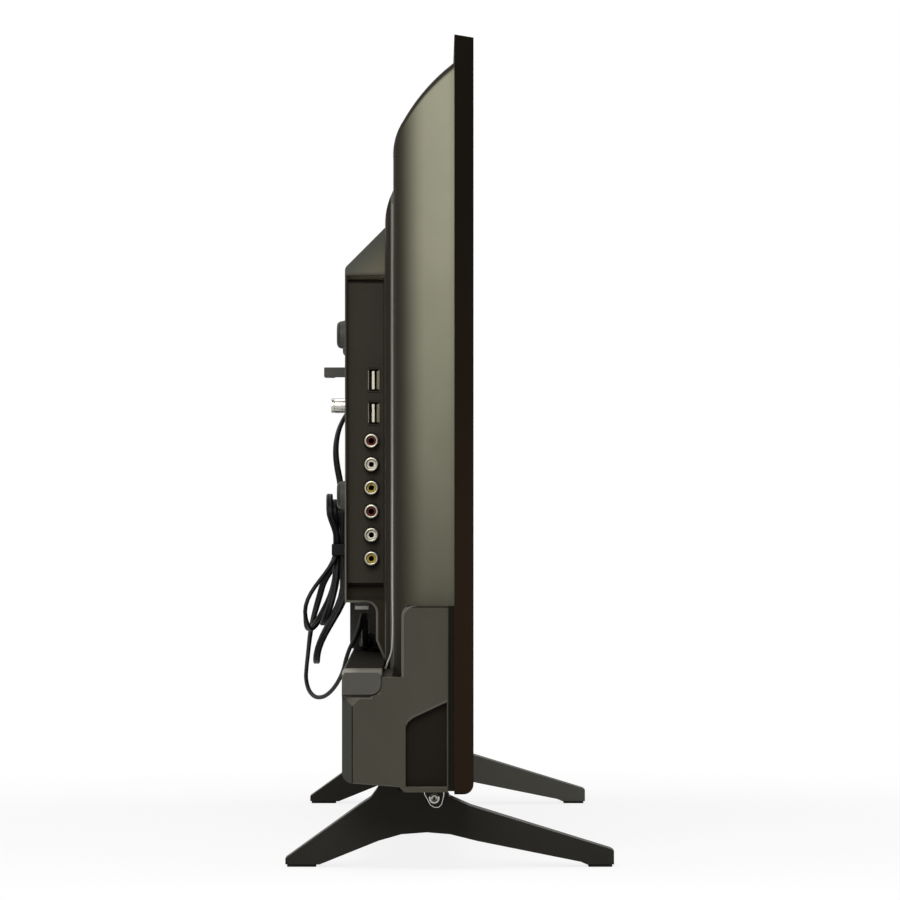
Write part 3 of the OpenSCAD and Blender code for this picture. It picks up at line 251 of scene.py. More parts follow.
def bump(height, strength, distance):
    links = {"Height": height, "Strength": strength, "Distance": distance}
    return height.node("Bump", links=links)


def clouded(place, speck):
    """A faint cloudiness from 0 to 1, with some of the grain in it."""
    return (0.75 * noise(place, CLOUD, detail=4) + 0.25 * speck).ramp(0.3, 0.7)


def mottled(cloud, code, spread):
    """A colour that a cloud makes darker and lighter by a share of itself."""
    return cloud.between(tone(code, 1 - spread), tone(code, 1 + spread))


def rubbed(place, gloss, amount=0.12):
    """A roughness about gloss, with patches that are rubbed smoother."""
    return gloss + amount * (noise(place, RUB, detail=3) - 0.5)


def moulded(name, code, gloss=0.45, sheen=0.05, grain=GRAIN, depth=0.25, mottle=0.08):
    """Moulded plastic: an eroded grain, a faint cloudiness in its colour, and rubbed patches."""
    finish, shader, place = blank_finish(name, Specular_IOR_Level=sheen)
    speck = noise(place, grain)
    feed(
        shader,
        Base_Color=mottled(clouded(place, speck), code, mottle),
        Roughness=rubbed(place, gloss),
        Normal=bump(speck, depth, GRAIN_DEPTH),
    )
    return finish


body_of = {node: body for body, nodes in frame["record"]["behaviour"]["bodies"].items() for node in nodes}


def dress(finish, *nodes):
    """Gives CAD pieces that stay as they are their finish."""
    for node in nodes:
        for slot in frame["nodes"][node].material_slots:
            slot.material = finish


def piece_from(mesh, name, finish, node, smooth=40):
    """Turns a bmesh into a piece with the given finish that rides on a CAD node's body."""
    for face in mesh.faces:
        face.smooth = True
    for edge in mesh.edges:
        edge.smooth = len(edge.link_faces) == 2 and edge.calc_face_angle() < math.radians(smooth)
    data = bpy.data.meshes.new(name)
    mesh.to_mesh(data)
    mesh.free()
    data.materials.append(finish)
    piece = bpy.data.objects.new(name, data)
    scene.collection.objects.link(piece)
    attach(piece, body_of[node])
    return piece


def merged(node):
    """A copy of a CAD piece's mesh with its loose triangles joined into whole faces."""
    mesh = bmesh.new()
    mesh.from_mesh(frame["nodes"][node].data)
    bmesh.ops.remove_doubles(mesh, verts=mesh.verts, dist=MERGE_GAP)
    bmesh.ops.dissolve_limit(mesh, angle_limit=FLAT_ANGLE, verts=mesh.verts, edges=mesh.edges)
    return mesh


def softened(node, finish, roll, segments=2, mesh=None, share=None, rim=None):
    """A CAD piece with its sharp edges rolled, as a mould leaves them.

    Where they are given, share picks the edges and scales their rolls, and rim is the rolls' finish."""
    mesh = mesh or merged(node)
    if share:
        weight = mesh.edges.layers.float.new("bevel_weight_edge")
        for line in mesh.edges:
            if len(line.link_faces) == 2 and line.calc_face_angle() > SHARP:
                line[weight] = share(line, (line.verts[0].co + line.verts[1].co) / 2)
    piece = piece_from(mesh, node + "_shaped", finish, node)
    bevel = piece.modifiers.new("rolled_edges", "BEVEL")
    bevel.width = roll
    bevel.segments = segments
    bevel.limit_method = "WEIGHT" if share else "ANGLE"
    bevel.angle_limit = SHARP
    bevel.use_clamp_overlap = not share
    if rim:
        piece.data.materials.append(rim)
        bevel.material = 1
    flat = piece.modifiers.new("flat_faces", "WEIGHTED_NORMAL")
    flat.keep_sharp = True
    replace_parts(piece, node)
    return piece


bezel_black, shader, place = blank_finish("bezel_black", Specular_IOR_Level=0.004)
side = abs(place.axis(0)) > BEZEL_SIDE
foot = side * (1 - (place.axis(2) + 0.08 * (noise(place, 9) - 0.5)).ramp(*BEZEL_FADE))
feed(
    shader,
    Base_Color=foot.between(tone(BEZEL_BLACK), tone(BEZEL_BROWN)),
    Roughness=rubbed(place, 0.42),
    Normal=bump(noise(place, GRAIN), 0.1, GRAIN_DEPTH),
)
softened("front_bezel", bezel_black, roll=BEZEL_EDGE, segments=3)

screen_black, shader, place = blank_finish("screen_black", Specular_IOR_Level=0.18)
picture = place.axis(0).within(-PICTURE_HALF, PICTURE_HALF) * place.axis(2).within(*PICTURE_Z)
haze = noise(place, SCREEN_GRAIN)
feed(
    shader,
    Base_Color=picture.between(tone(BORDER_BLACK), mottled(noise(place, 3), SCREEN_BLACK, 0.2)),
    Roughness=0.16 + 0.08 * haze,
    Normal=bump(haze, 0.05, SCREEN_DEPTH),
)
dress(screen_black, "lcd_panel")

window_red, shader, place = blank_finish("window_red", Specular_IOR_Level=0.5)
feed(
    shader,
    Base_Color=mottled(noise(place, 400), WINDOW_RED, 0.3),
    Roughness=0.08 + 0.05 * noise(place, 900),
)
softened("remote_window", window_red, roll=0.2 * MM)

# Backlight: a zinc-plated steel tray behind the panel, three aluminium bars of lensed lamps, a white sheet
# and a diffuser. A dark moulded frame holds the stack, and a flat ribbon brings the picture to the board
# under the panel.
OPTIC_WHITE = "eeeee8"
RIBBON_GREY = "d5d3c8"
BOARD_GREEN = "1f4a33"
ZINC = "b4b6b4"
ALUMINIUM = "b9babb"
LENS_PALE, LENS_BRIGHT = "cfd8dc", "e4ebee"
PAD_TIN = "c6bfa4"
DRAWN, PATCHES, DRAWN_DEPTH = 700, 45, 0.05 * MM
TRACK_SCALE, PAD_SCALE = 160.0, 330.0
TRACK_EDGE, PAD_EDGE = (0.02, 0.06), (0.1, 0.14)


def plated(name, code, gloss=0.3, brush=(1, 1, 1)):
    """Bare or plated metal: drawn or brushed lines, with dull and bright patches."""
    finish, shader, place = blank_finish(name, Metallic=1.0)
    lines = noise(place, DRAWN, detail=3, stretch=brush)
    patch = noise(place, PATCHES, detail=3)
    feed(
        shader,
        Base_Color=patch.ramp(0.25, 0.75).between(tone(code, 0.82), tone(code, 1.05)),
        Roughness=gloss + 0.18 * (lines - 0.5) + 0.1 * (patch - 0.5),
        Normal=bump(lines, 0.08, DRAWN_DEPTH),
    )
    return finish


def circuit(name, code):
    """A circuit board: solder mask with tracks that shine through and rows of bare pads."""
    finish, shader, place = blank_finish(name, Specular_IOR_Level=0.4)
    tracks = place.node(
        "TexVoronoi",
        {"distance": "MANHATTAN", "feature": "DISTANCE_TO_EDGE"},
        {"Vector": place, "Scale": TRACK_SCALE},
    )
    pads = place.node("TexVoronoi", {"distance": "CHEBYCHEV"}, {"Vector": place, "Scale": PAD_SCALE})
    track = 1 - tracks.ramp(*TRACK_EDGE)
    pad = 1 - pads.ramp(*PAD_EDGE)
    mask = (0.5 * noise(place, 90)).between(tone(code, 0.9), tone(code, 1.15))
    feed(
        shader,
        Base_Color=pad.between(track.between(mask, tone(code, 1.9)), tone(PAD_TIN)),
        Roughness=0.38 - 0.1 * track,
        Metallic=0.8 * pad,
    )
    return finish


optic_white = moulded("optic_white", OPTIC_WHITE, gloss=0.6, mottle=0.02, depth=0.05)
dark_plastic = moulded("dark_plastic", "262629", gloss=0.5)
zinc_steel = plated("zinc_steel", ZINC, gloss=0.38)
aluminium = plated("aluminium", ALUMINIUM, gloss=0.35, brush=(1, 1, 12))
board_green = circuit("board_green", BOARD_GREEN)
ribbon_grey = moulded("ribbon_grey", RIBBON_GREY, gloss=0.45, mottle=0.04)
lens_clear, shader, place = blank_finish("lens_clear", Specular_IOR_Level=0.5, Roughness=0.06)
feed(shader, Base_Color=noise(place, 60).between(tone(LENS_PALE), tone(LENS_BRIGHT)))
dress(dark_plastic, "panel_mid_frame")
dress(optic_white, "diffuser_plate", "reflector_sheet")
dress(aluminium, "led_bars")
dress(lens_clear, "led_lenses")
dress(zinc_steel, "backlight_pan")
dress(board_green, "source_board", "remote_board", "key_board", "main_board")
dress(ribbon_grey, "lvds_ribbon")

# Electronics: a main board with the ports on its edge and a power board beside it, both on studs of the
# tray. Extruded heatsinks, a taped transformer, sleeved capacitors and a tinned tuner can stand on them.
power_brown = circuit("power_brown", "7d5f30")
tape_yellow = moulded("tape_yellow", "c39c35", gloss=0.4)
sleeve_dark = moulded("sleeve_dark", "20242c", gloss=0.25, sheen=0.45)
nickel = plated("nickel", "cfccc4", gloss=0.2)
dress(power_brown, "power_board")
dress(aluminium, "heatsinks")
dress(tape_yellow, "power_transformer")
dress(sleeve_dark, "power_capacitors")
dress(nickel, "tuner_can")

# Sockets: folded and plated shells with moulded cores, set in the side plate, the bay's ceiling and the back.
# Six phono jacks are coloured red, white and yellow twice, under two USB sockets whose insides are painted
# near black as painted shade.
PLATE_X = -199
RCA_Y, RCA_Z, RCA_PITCH, RCA_COUNT = 47, 249.6, 14.2, 6
RCA_BARREL = [
    (-1.8, 3.95), (1.5, 3.95), (1.5, 4.2), (6.0, 4.2), (6.35, 4.08), (6.5, 3.8), (6.5, 3.15), (6.35, 2.9),
    (6.0, 2.75), (5.4, 2.75), (5.4, 3.5), (-1.8, 3.5),
]
RCA_CORE = [(-1.8, 1.6), (4.9, 1.6), (5.2, 1.8), (5.2, 3.2), (5.0, 3.46), (-1.8, 3.46)]
USB_Y, USB_Z, USB_PITCH, USB_HALF = 45.6, 286.4, 20, 5.4
LINER_X, LINER_Y = (-0.75, 9), (-2.9, -1.8)
TONGUE_X, TONGUE_Y = (0.2, 11), (-0.4, 1.1)
USB_MOUTH, USB_ENDS = (-0.7, 0.2), (5.8 * MM, 7.6 * MM)
USB_NICKEL, USB_SHADE = ("55523f", "6e6a58"), "0d0c0a"
AERIAL_X, AERIAL_Z, AERIAL_Y = -70, 272.8, 63
AERIAL = [
    (-10.0, 4.45), (2.2, 4.45), (2.3, 4.75), (8.6, 4.75), (8.8, 4.5), (9.2, 4.5), (9.4, 4.75), (10.7, 4.7),
    (11.0, 4.4), (11.0, 3.7), (10.8, 3.4), (2.0, 3.4), (2.0, 0.5), (-10.0, 0.5),
]
NUT_RADIUS, NUT_DEPTH = 6.4 * MM, 2.2 * MM
SEAM_GAP = 0.001 * MM
VGA_HIGHLIGHT_BAND, VGA_HIGHLIGHT, VGA_SHADED = (1.6 * MM, 2.4 * MM), "cdcac1", ("35332d", "454239")


def turned(mesh, profile, centre, axis, steps=36):
    """Adds to a bmesh a closed profile of (along, radius) points in mm that is spun round an axis."""
    centre, axis = Vector(centre), Vector(axis)
    up = Vector((0, 0, 1))
    verts = [mesh.verts.new((centre + along * axis + radius * up) * MM) for along, radius in profile]
    edges = [mesh.edges.new(pair) for pair in zip(verts, verts[1:] + verts[:1])]
    bmesh.ops.spin(
        mesh, geom=verts + edges, cent=centre * MM, axis=axis, angle=2 * math.pi, steps=steps, use_merge=True
    )


def box(mesh, low, high):
    """Adds to a bmesh a block between two corners in mm."""
    size = [b - a for a, b in zip(low, high)]
    middle = [(a + b) / 2 for a, b in zip(low, high)]
    place = Matrix.Translation([c * MM for c in middle]) @ Matrix.Diagonal([c * MM for c in size] + [1])
    bmesh.ops.create_cube(mesh, size=1, matrix=place)


def jacks(profile, first, step):
    """A bmesh of one profile at every step of the phono jacks, from the first."""
    mesh = bmesh.new()
    for i in range(first, RCA_COUNT, step):
        turned(mesh, profile, (PLATE_X, RCA_Y, RCA_Z - i * RCA_PITCH), (-1, 0, 0))
    bmesh.ops.remove_doubles(mesh, verts=mesh.verts, dist=SEAM_GAP)
    bmesh.ops.recalc_face_normals(mesh, faces=mesh.faces)
    return mesh


rca_red = moulded("rca_red", "54171a", gloss=0.35, sheen=0.2)
rca_yellow = moulded("rca_yellow", "a58f38", gloss=0.35, sheen=0.2)
ivory = moulded("ivory", "d9d4c3", gloss=0.4, sheen=0.2, mottle=0.03)
dull_nickel = plated("dull_nickel", "9f9a88", gloss=0.36)
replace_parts(piece_from(jacks(RCA_BARREL, 0, 1), "rca_rings", dull_nickel, "rca_barrels"), "rca_barrels")
for first, (core, finish) in enumerate((("red", rca_red), ("white", ivory), ("yellow", rca_yellow))):
    node = "rca_cores_" + core
    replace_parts(piece_from(jacks(RCA_CORE, first, 3), node + "_turned", finish, node), node)
dress(dark_plastic, "rca_housing")

# Painted shade: the USB shells are painted near black past the mouth and in bands at their ends.
usb_plated, shader, place = blank_finish("usb_plated", Specular_IOR_Level=0.1)
inside = place.axis(0).ramp(*((PLATE_X + x) * MM for x in USB_MOUTH))
for i in range(2):
    from_middle = abs(place.axis(2) - (USB_Z - i * USB_PITCH) * MM)
    inside = inside.either(0.85 * from_middle.within(*USB_ENDS))
shell = noise(place, 900).between(*(tone(code) for code in USB_NICKEL))
feed(
    shader,
    Base_Color=inside.between(shell, tone(USB_SHADE)),
    Metallic=0.7 * (1 - inside),
    Roughness=0.3 + 0.2 * noise(place, 400),
)
shells = merged("usb_shells")
tongues = bmesh.new()
for i in range(2):
    low, high = USB_Z - i * USB_PITCH - USB_HALF, USB_Z - i * USB_PITCH + USB_HALF
    for mesh, reach, depth in ((shells, LINER_X, LINER_Y), (tongues, TONGUE_X, TONGUE_Y)):
        box(mesh, (PLATE_X + reach[0], USB_Y + depth[0], low), (PLATE_X + reach[1], USB_Y + depth[1], high))
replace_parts(piece_from(shells, "usb_shells_lined", usb_plated, "usb_shells"), "usb_shells")
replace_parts(piece_from(tongues, "usb_tongues_slim", ivory, "usb_tongues"), "usb_tongues")

aerial = bmesh.new()
turned(aerial, AERIAL, (AERIAL_X, AERIAL_Y, AERIAL_Z), (0, 1, 0))
nut_place = Vector((AERIAL_X * MM, AERIAL_Y * MM + NUT_DEPTH / 2, AERIAL_Z * MM))
bmesh.ops.create_cone(
    aerial,
    cap_ends=True,
    segments=6,
    radius1=NUT_RADIUS,
    radius2=NUT_RADIUS,
    depth=NUT_DEPTH,
    matrix=Matrix.Translation(nut_place) @ Matrix.Rotation(math.pi / 2, 4, "X"),
)
bmesh.ops.remove_doubles(aerial, verts=aerial.verts, dist=SEAM_GAP)
bmesh.ops.recalc_face_normals(aerial, faces=aerial.faces)
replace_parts(piece_from(aerial, "antenna_barrel", nickel, "antenna_socket"), "antenna_socket")
softened("antenna_insulator", ivory, roll=0.2 * MM)
softened("hdmi_socket", nickel, roll=0.15 * MM)
# Painted shade and highlight: the D-sub's shell is painted dark as shade, with a pale band at its foot as a
# painted highlight.
vga_shell, shader, place = blank_finish("vga_shell", Specular_IOR_Level=0.3)
vga_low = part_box("vga_connector")[0].z
highlight_band = place.axis(2).ramp(*(vga_low + z for z in VGA_HIGHLIGHT_BAND))
shell = noise(place, 500).between(*(tone(code) for code in VGA_SHADED))
feed(
    shader,
    Base_Color=highlight_band.between(tone(VGA_HIGHLIGHT), shell),
    Roughness=0.3 + 0.1 * noise(place, 400),
)
softened("vga_connector", vga_shell, roll=0.5 * MM)

# Speakers: two closed boxes of dark plastic in the lower housing, each with a plated magnet on a bridge.
# Their racetrack cones are coated paper, and fire down through slots in the housing's floor.
cone_paper = moulded("cone_paper", "2b2b2d", gloss=0.7, grain=500, depth=0.6)
dress(dark_plastic, "speaker_boxes")
dress(zinc_steel, "speaker_magnets")
dress(cone_paper, "speaker_cone_left", "speaker_cone_right")

# Keys: seven black caps in a row on the back of the lower housing, moulded in a plastic with some gloss.
# Each stands through a close opening, with a flange behind the wall and a stem that presses its own switch.
key_black = moulded("key_black", "1a1917", gloss=0.3, sheen=0.35)
for key in [node for node in body_of if node.startswith("key_") and node != "key_board"]:
    softened(key, key_black, roll=0.6 * MM, segments=3)

# Rear cover: one large moulding with an eroded grain, from the soft pillow behind the slab to the plateau and
# the box that holds the boards. The pale olive on the flanks of the pillow is a painted sheen that fades
# lower down and ends where they roll over to the back. A bead runs down each side of the plateau, its outer
# side painted pale as a painted highlight. The box's sides, the side recess, the bay and the rolled edges
# also carry painted light and shade.
BACK_DARK, TOP_GREY, BOSS_GREY, BAY_FILL_LIGHT = "29261f", "33312b", "43423d", "4d4a43"
GUSSET_LIT_GREY, GUSSET_LIT_OLIVE, GUSSET_LIGHT_FADE = "4a4b45", "625f50", (392 * MM, 418 * MM)
BOX_FOOT, GUSSET_Z = (38.6 * MM, 39.2 * MM), (349 * MM, 352 * MM)
FLANK_PAINTED_SHEEN, PAINTED_SHEEN_LOW = "848371", 0.2
FLANK_SHEEN_END = (13 * MM, 31 * MM)
PAINTED_SHEEN_FADE = (0.07, 0.45)
RECESS = ((-204.4 * MM, -190 * MM), (39 * MM, 62.4 * MM), (117 * MM, 349.6 * MM))
RECESS_SHADE, RECESS_TOP_LIGHT, RECESS_TOP_Z = "2d2a22", "958d78", (346.4 * MM, 348 * MM)
COVER_RIM_HIGHLIGHT, BOSS_RIM = "57544b", "2f2e2b"
FOOT_X, FOOT_Z = 351.3 * MM, 466.3 * MM
RIDGE_SHEEN_FADE = (-5.4 * MM, -1.8 * MM)
MITRE_ROLL = 4 * MM
COVER_ROLL = 2.2 * MM
PLATEAU_X, BOX_X, BOX_Y, BAY_Z, BAY_END = 236 * MM, 204 * MM, 63 * MM, 152.1 * MM, -15 * MM
SATIN = 0.4
PILLOW_Y, PLATEAU_Y = (32.4 * MM, 33 * MM), 38.2 * MM
NEAR, SKIN = 0.1 * MM, 0.2 * MM
BAY_SHARE, OUTER_SHARE = 0.6, 0.4
BEAD_ROUTE = [
    (34, 391), (34, 300), (34, 220), (34, 160), (34, 131), (34.9, 122.4), (37.2, 116.4), (38.2, 113.4),
]
BEAD_THICK, BEAD_OUTER = 1.2 * MM, (236.0 * MM, 236.5 * MM)
BEAD_HIGHLIGHT_GREY, BEAD_HIGHLIGHT, BEAD_HIGHLIGHT_FADE = "85827a", "bdbab2", (0.12, 0.32)


def on_mitre(edge):
    """Whether the pillow's rounded top meets one of its rounded sides at this edge."""
    return edge.is_convex and all(abs(FOOT_X - abs(v.co.x) - FOOT_Z + v.co.z) < NEAR / 2 for v in edge.verts)


def cover_share(edge, middle):
    """The bosses, the mouth of the bay and the outer edges of the plateau and the box are rolled."""
    if not edge.is_convex:
        return 0
    if middle.y > BOX_Y + MM:
        return 1
    on_box = abs(abs(middle.x) - BOX_X) < NEAR and middle.y > BOX_Y - NEAR and edge.calc_length() > MM
    on_plateau = abs(abs(middle.x) - PLATEAU_X) < NEAR
    on_bay = abs(middle.x + BOX_X) < NEAR and middle.z < BAY_Z
    return BAY_SHARE if on_bay else OUTER_SHARE if on_box or on_plateau else 0


cover = merged("rear_cover")
bmesh.ops.bevel(
    cover,
    geom=[edge for edge in cover.edges if on_mitre(edge)],
    offset=MITRE_ROLL,
    offset_type="OFFSET",
    affect="EDGES",
    segments=4,
    profile=0.5,
    material=-1,
)
cover_grey, shader, place = blank_finish("cover_grey", Specular_IOR_Level=0.005, Coat_Roughness=0.42)
across, deep, high = (place.axis(k) for k in range(3))
wide = abs(across)
speck = noise(place, GRAIN)
cloud = clouded(place, speck)
before_roll = 1 - deep.ramp(*FLANK_SHEEN_END)
ridge = high - wide + (FOOT_X - FOOT_Z)
back = ((ridge > 0) * before_roll).between(mottled(cloud, BACK_DARK, 0.05), tone(TOP_GREY))
# Painted light: the box's side faces are painted lighter than the rest of the back, olive low and grey high.
lit_gusset = deep.ramp(*BOX_FOOT) * high.ramp(*GUSSET_Z) * (wide > BOX_X - 1.5 * SKIN)
lit_slope = (high + deep).ramp(*GUSSET_LIGHT_FADE).between(tone(GUSSET_LIT_OLIVE), tone(GUSSET_LIT_GREY))
back = lit_gusset.between(back, lit_slope)
back = (deep > BOX_Y + SKIN).between(back, tone(BOSS_GREY))
# Painted light: the inside of the bay is painted lighter than the back, as fill light.
bay = deep.within(BOX_FOOT[1], BOX_Y - SKIN) * (1 - (high > BAY_Z)) * (1 - (across > BAY_END))
back = bay.between(back, tone(BAY_FILL_LIGHT))
# Painted sheen: the pillow's flanks are painted pale olive, less so lower down, near the ridge and where they
# roll to the back.
flank_painted_sheen = mottled(cloud, FLANK_PAINTED_SHEEN, 0.05)
sheen_by_height = PAINTED_SHEEN_LOW + (1 - PAINTED_SHEEN_LOW) * high.ramp(*PAINTED_SHEEN_FADE)
spread = before_roll * sheen_by_height * (1 - ridge.ramp(*RIDGE_SHEEN_FADE))
# Painted shade: the side recess is painted dark, and the strip at its top is painted pale as painted light.
shaded_recess = across.within(*RECESS[0]) * deep.within(*RECESS[1]) * high.within(*RECESS[2])
off_plateau = deep.ramp(*PILLOW_Y) * (1 - (deep > PILLOW_Y[1] + NEAR)) * (wide > PLATEAU_X)
on_plateau = (deep > PLATEAU_Y) * (1 - (wide > PLATEAU_X - 2 * SKIN))
facing = off_plateau.either(on_plateau) * (1 - shaded_recess) * (1 - lit_gusset)
lit_top_strip = high.ramp(*RECESS_TOP_Z) * (across > -BOX_X + 3 * SKIN)
recess_shade_and_light = lit_top_strip.between(tone(RECESS_SHADE), tone(RECESS_TOP_LIGHT))
feed(
    shader,
    Base_Color=shaded_recess.between(spread.between(back, flank_painted_sheen), recess_shade_and_light),
    Roughness=rubbed(place, 0.42, 0.1),
    Coat_Weight=SATIN * facing,
    Normal=bump(speck, 0.15, GRAIN_DEPTH),
)
# Painted highlights: the rolled edges are painted paler than the moulding, and dark on the bosses.
cover_rim_highlight, shader, place = blank_finish("cover_rim_highlight", Specular_IOR_Level=0.1)
boss = place.axis(1) > BOX_Y + SKIN
feed(
    shader,
    Base_Color=boss.between(mottled(noise(place, RUB), COVER_RIM_HIGHLIGHT, 0.1), tone(BOSS_RIM)),
    Roughness=rubbed(place, 0.4, 0.1),
)
softened("rear_cover", cover_grey, roll=COVER_ROLL, segments=3, mesh=cover, share=cover_share, rim=cover_rim_highlight)

# Painted highlight: the bead's outer side is painted pale, brighter towards the foot, and its inner side
# takes the back's dark.
bead_highlight_finish, shader, place = blank_finish("bead_highlight_finish", Specular_IOR_Level=0.05)
outer = abs(place.axis(0)).ramp(*BEAD_OUTER)
painted_highlight = place.axis(2).ramp(*BEAD_HIGHLIGHT_FADE).between(tone(BEAD_HIGHLIGHT), tone(BEAD_HIGHLIGHT_GREY))
feed(
    shader,
    Base_Color=outer.between(tone(BACK_DARK), painted_highlight),
    Roughness=0.3 + 0.1 * noise(place, 300),
)
bead_curve = bpy.data.curves.new("plateau_beads", "CURVE")
bead_curve.dimensions = "3D"
bead_curve.bevel_depth = BEAD_THICK / 2
bead_curve.bevel_resolution = 3
bead_curve.use_fill_caps = True
for side in (-PLATEAU_X, PLATEAU_X):
    line = bead_curve.splines.new("BEZIER")
    line.bezier_points.add(len(BEAD_ROUTE) - 1)
    for point, (y, z) in zip(line.bezier_points, BEAD_ROUTE):
        point.co = (side, y * MM, z * MM)
        point.handle_left_type = point.handle_right_type = "AUTO"
bead_curve.materials.append(bead_highlight_finish)
beads = bpy.data.objects.new("plateau_beads", bead_curve)
scene.collection.objects.link(beads)
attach(beads, body_of["rear_cover"])

# Plates and fittings on the cover: dark moulded port plates round the sockets, turned brass inserts for the
# wall mount set in their bosses, black cross-head screws sunk in the back, and a hook that stands off it.
plate_dark = moulded("plate_dark", "302c25", gloss=0.5, sheen=0.06)
brass = plated("brass", "b3975a", gloss=0.3)
screw_black = plated("screw_black", "2c2b2a", gloss=0.4)
clip_grey = moulded("clip_grey", "4e4d49")
softened("port_plates", plate_dark, roll=0.2 * MM)
softened("vesa_inserts", brass, roll=0.25 * MM)
softened("cover_screws", screw_black, roll=0.2 * MM)
softened("cable_clip", clip_grey, roll=0.6 * MM, segments=3)

# Lower housing: a dark moulding across the foot of the back that holds the speakers and the keys. Its ends
# rise beside the pillow, and a black bracket for the leg shows through the window in each end. Dark seals
# inside the ends close small gaps.
HOUSING_GREY = "3f3d35"
SHELF_SHADE, SHELF_Y, SHELF_Z = "1d1b16", 38 * MM, (117.2 * MM, 117.8 * MM)
SEAM_Y, TALL_TOP = 0.7 * MM, (152.8 * MM, 153.6 * MM)
CORNER_Y, CORNER_Z = (55.6 * MM, 56.3 * MM), 101.5 * MM
END_X, REAR_Y = 352 * MM, (56 * MM, 61 * MM)
CORNER_SHADE, CHAMFER_LIT_GREY = "383934", "4f4d45"
LIP_GREY, LIP_Y, LIP_Z = "484641", 39.7 * MM, 103 * MM
HOUSING_RIM_HIGHLIGHT, LIP_HIGHLIGHT, LIP_TOP = "4d4b43", ("5a584f", "7c7a71"), 114.5 * MM
LIP_HIGHLIGHT_FADE = (50 * MM, 61 * MM)
CHAMFER_Y, CHAMFER_Z = 55.9 * MM, 96.2 * MM
HOUSING_END, HOUSING_ROLL = 359.9 * MM, 2.4 * MM
LIP_EDGE, GAP_EDGE, FOOT_EDGE = 115, (101, 102), 53
REAR_START, LIP_END, LIP_RUN = 38, 65, 6
RISE_EDGE, RISE_START, RISE_RUN = 113.5, 21, 8
WINDOW_Y, WINDOW_FOOT = (2, 26), 51
END_SEALS = (((354.0, 18, 47.5), (354.8, 30, 56)), ((351, 24, 106), (352, 33, 115)))


def housing_share(edge, middle):
    """How far an edge of the ends is rolled: most on the lip's top, less on the other edges."""
    y, z = middle.y / MM, middle.z / MM
    if not edge.is_convex or abs(middle.x) < HOUSING_END:
        return 0
    if y > REAR_START:
        if z > LIP_EDGE:
            return min(1, (LIP_END - y) / LIP_RUN)
        return 0.3 if GAP_EDGE[0] < z < GAP_EDGE[1] else 0.2 * (z < FOOT_EDGE)
    if z > RISE_EDGE:
        return min(0.6, max(0, (y - RISE_START) / RISE_RUN))
    return 0.5 if WINDOW_Y[0] < y < WINDOW_Y[1] and z > WINDOW_FOOT else 0.1


housing_grey, shader, place = blank_finish("housing_grey", Specular_IOR_Level=0.02, Coat_Roughness=0.42)
across, deep, high = (place.axis(k) for k in range(3))
speck = noise(place, GRAIN)
end = abs(across) > END_X
# Painted shade: the rounded rear corner of each end is painted darker.
shaded_corner = end * (deep > CORNER_Y[1]) * (1 - (high > CORNER_Z))
# Painted shade: the top of the shelf, the seams and the strip under the top of the tall ends are painted near
# black, and rougher.
shaded_seam = (1 - (deep > SEAM_Y)).either(end * deep.within(*CORNER_Y) * (1 - (high > CORNER_Z)))
shaded_tall_top = high.within(*TALL_TOP) * (1 - (deep > SHELF_Y))
painted_shade = (high.ramp(*SHELF_Z) * (deep > SHELF_Y)).either(shaded_seam).either(shaded_tall_top)
body = shaded_corner.between(mottled(clouded(place, speck), HOUSING_GREY, 0.07), tone(CORNER_SHADE))
# Painted light: the small chamfer above that corner is painted lighter.
lit_chamfer = end * (high - abs(deep - CHAMFER_Y) > CHAMFER_Z) * (1 - (high > CORNER_Z))
body = lit_chamfer.between(body, tone(CHAMFER_LIT_GREY))
painted_shade = painted_shade * (1 - lit_chamfer)
body = (end * (deep > LIP_Y) * (high > LIP_Z)).between(body, tone(LIP_GREY))
facing = (1 - end) * deep.ramp(*REAR_Y) * (1 - painted_shade)
feed(
    shader,
    Base_Color=painted_shade.between(facing.between(body, tone(BACK_DARK)), tone(SHELF_SHADE)),
    Roughness=rubbed(place, 0.45 + 0.45 * painted_shade, 0.1),
    Coat_Weight=SATIN * facing,
    Normal=bump(speck, 0.15, GRAIN_DEPTH),
)
bracket_black = moulded("bracket_black", "1a1611", sheen=0.03)
# Painted highlights: the ends' rolled edges are painted paler, and the lip's rolled top paler still,
# brightest towards the back.
housing_rim_highlight, shader, place = blank_finish("housing_rim_highlight", Specular_IOR_Level=0.1)
deep, high = place.axis(1), place.axis(2)
lip = (high > LIP_TOP) * (deep > SHELF_Y)
painted_highlight = deep.ramp(*LIP_HIGHLIGHT_FADE).between(*(tone(code) for code in LIP_HIGHLIGHT))
feed(
    shader,
    Base_Color=lip.between(mottled(noise(place, RUB), HOUSING_RIM_HIGHLIGHT, 0.1), painted_highlight),
    Roughness=rubbed(place, 0.4, 0.1),
)
softened("lower_housing", housing_grey, roll=HOUSING_ROLL, segments=3, share=housing_share, rim=housing_rim_highlight)
dress(bracket_black, "leg_brackets")
seals = bmesh.new()
for side in (-1, 1):
    for low, high in END_SEALS:
        box(seals, (side * low[0], *low[1:]), (side * high[0], *high[1:]))
bmesh.ops.recalc_face_normals(seals, faces=seals.faces)
piece_from(seals, "end_seals", bracket_black, "leg_brackets")

# Stand: two moulded legs that splay to the front and the rear, on rubber pads. Screws from below hold them to
# the brackets in the housing. A black lug shows beside the neck of each leg, its rolled edges in nickel as a
# painted highlight, and the inner sides of the front arms are painted paler as painted light.
LEG_BLACK, LEG_LIT_PALE = "24221e", "54534d"
ARM_START, ARM_INNER, ARM_TAPER = -4 * MM, 283.3 * MM, 3 / 92
leg_black, shader, place = blank_finish("leg_black", Specular_IOR_Level=0.06)
deep = place.axis(1)
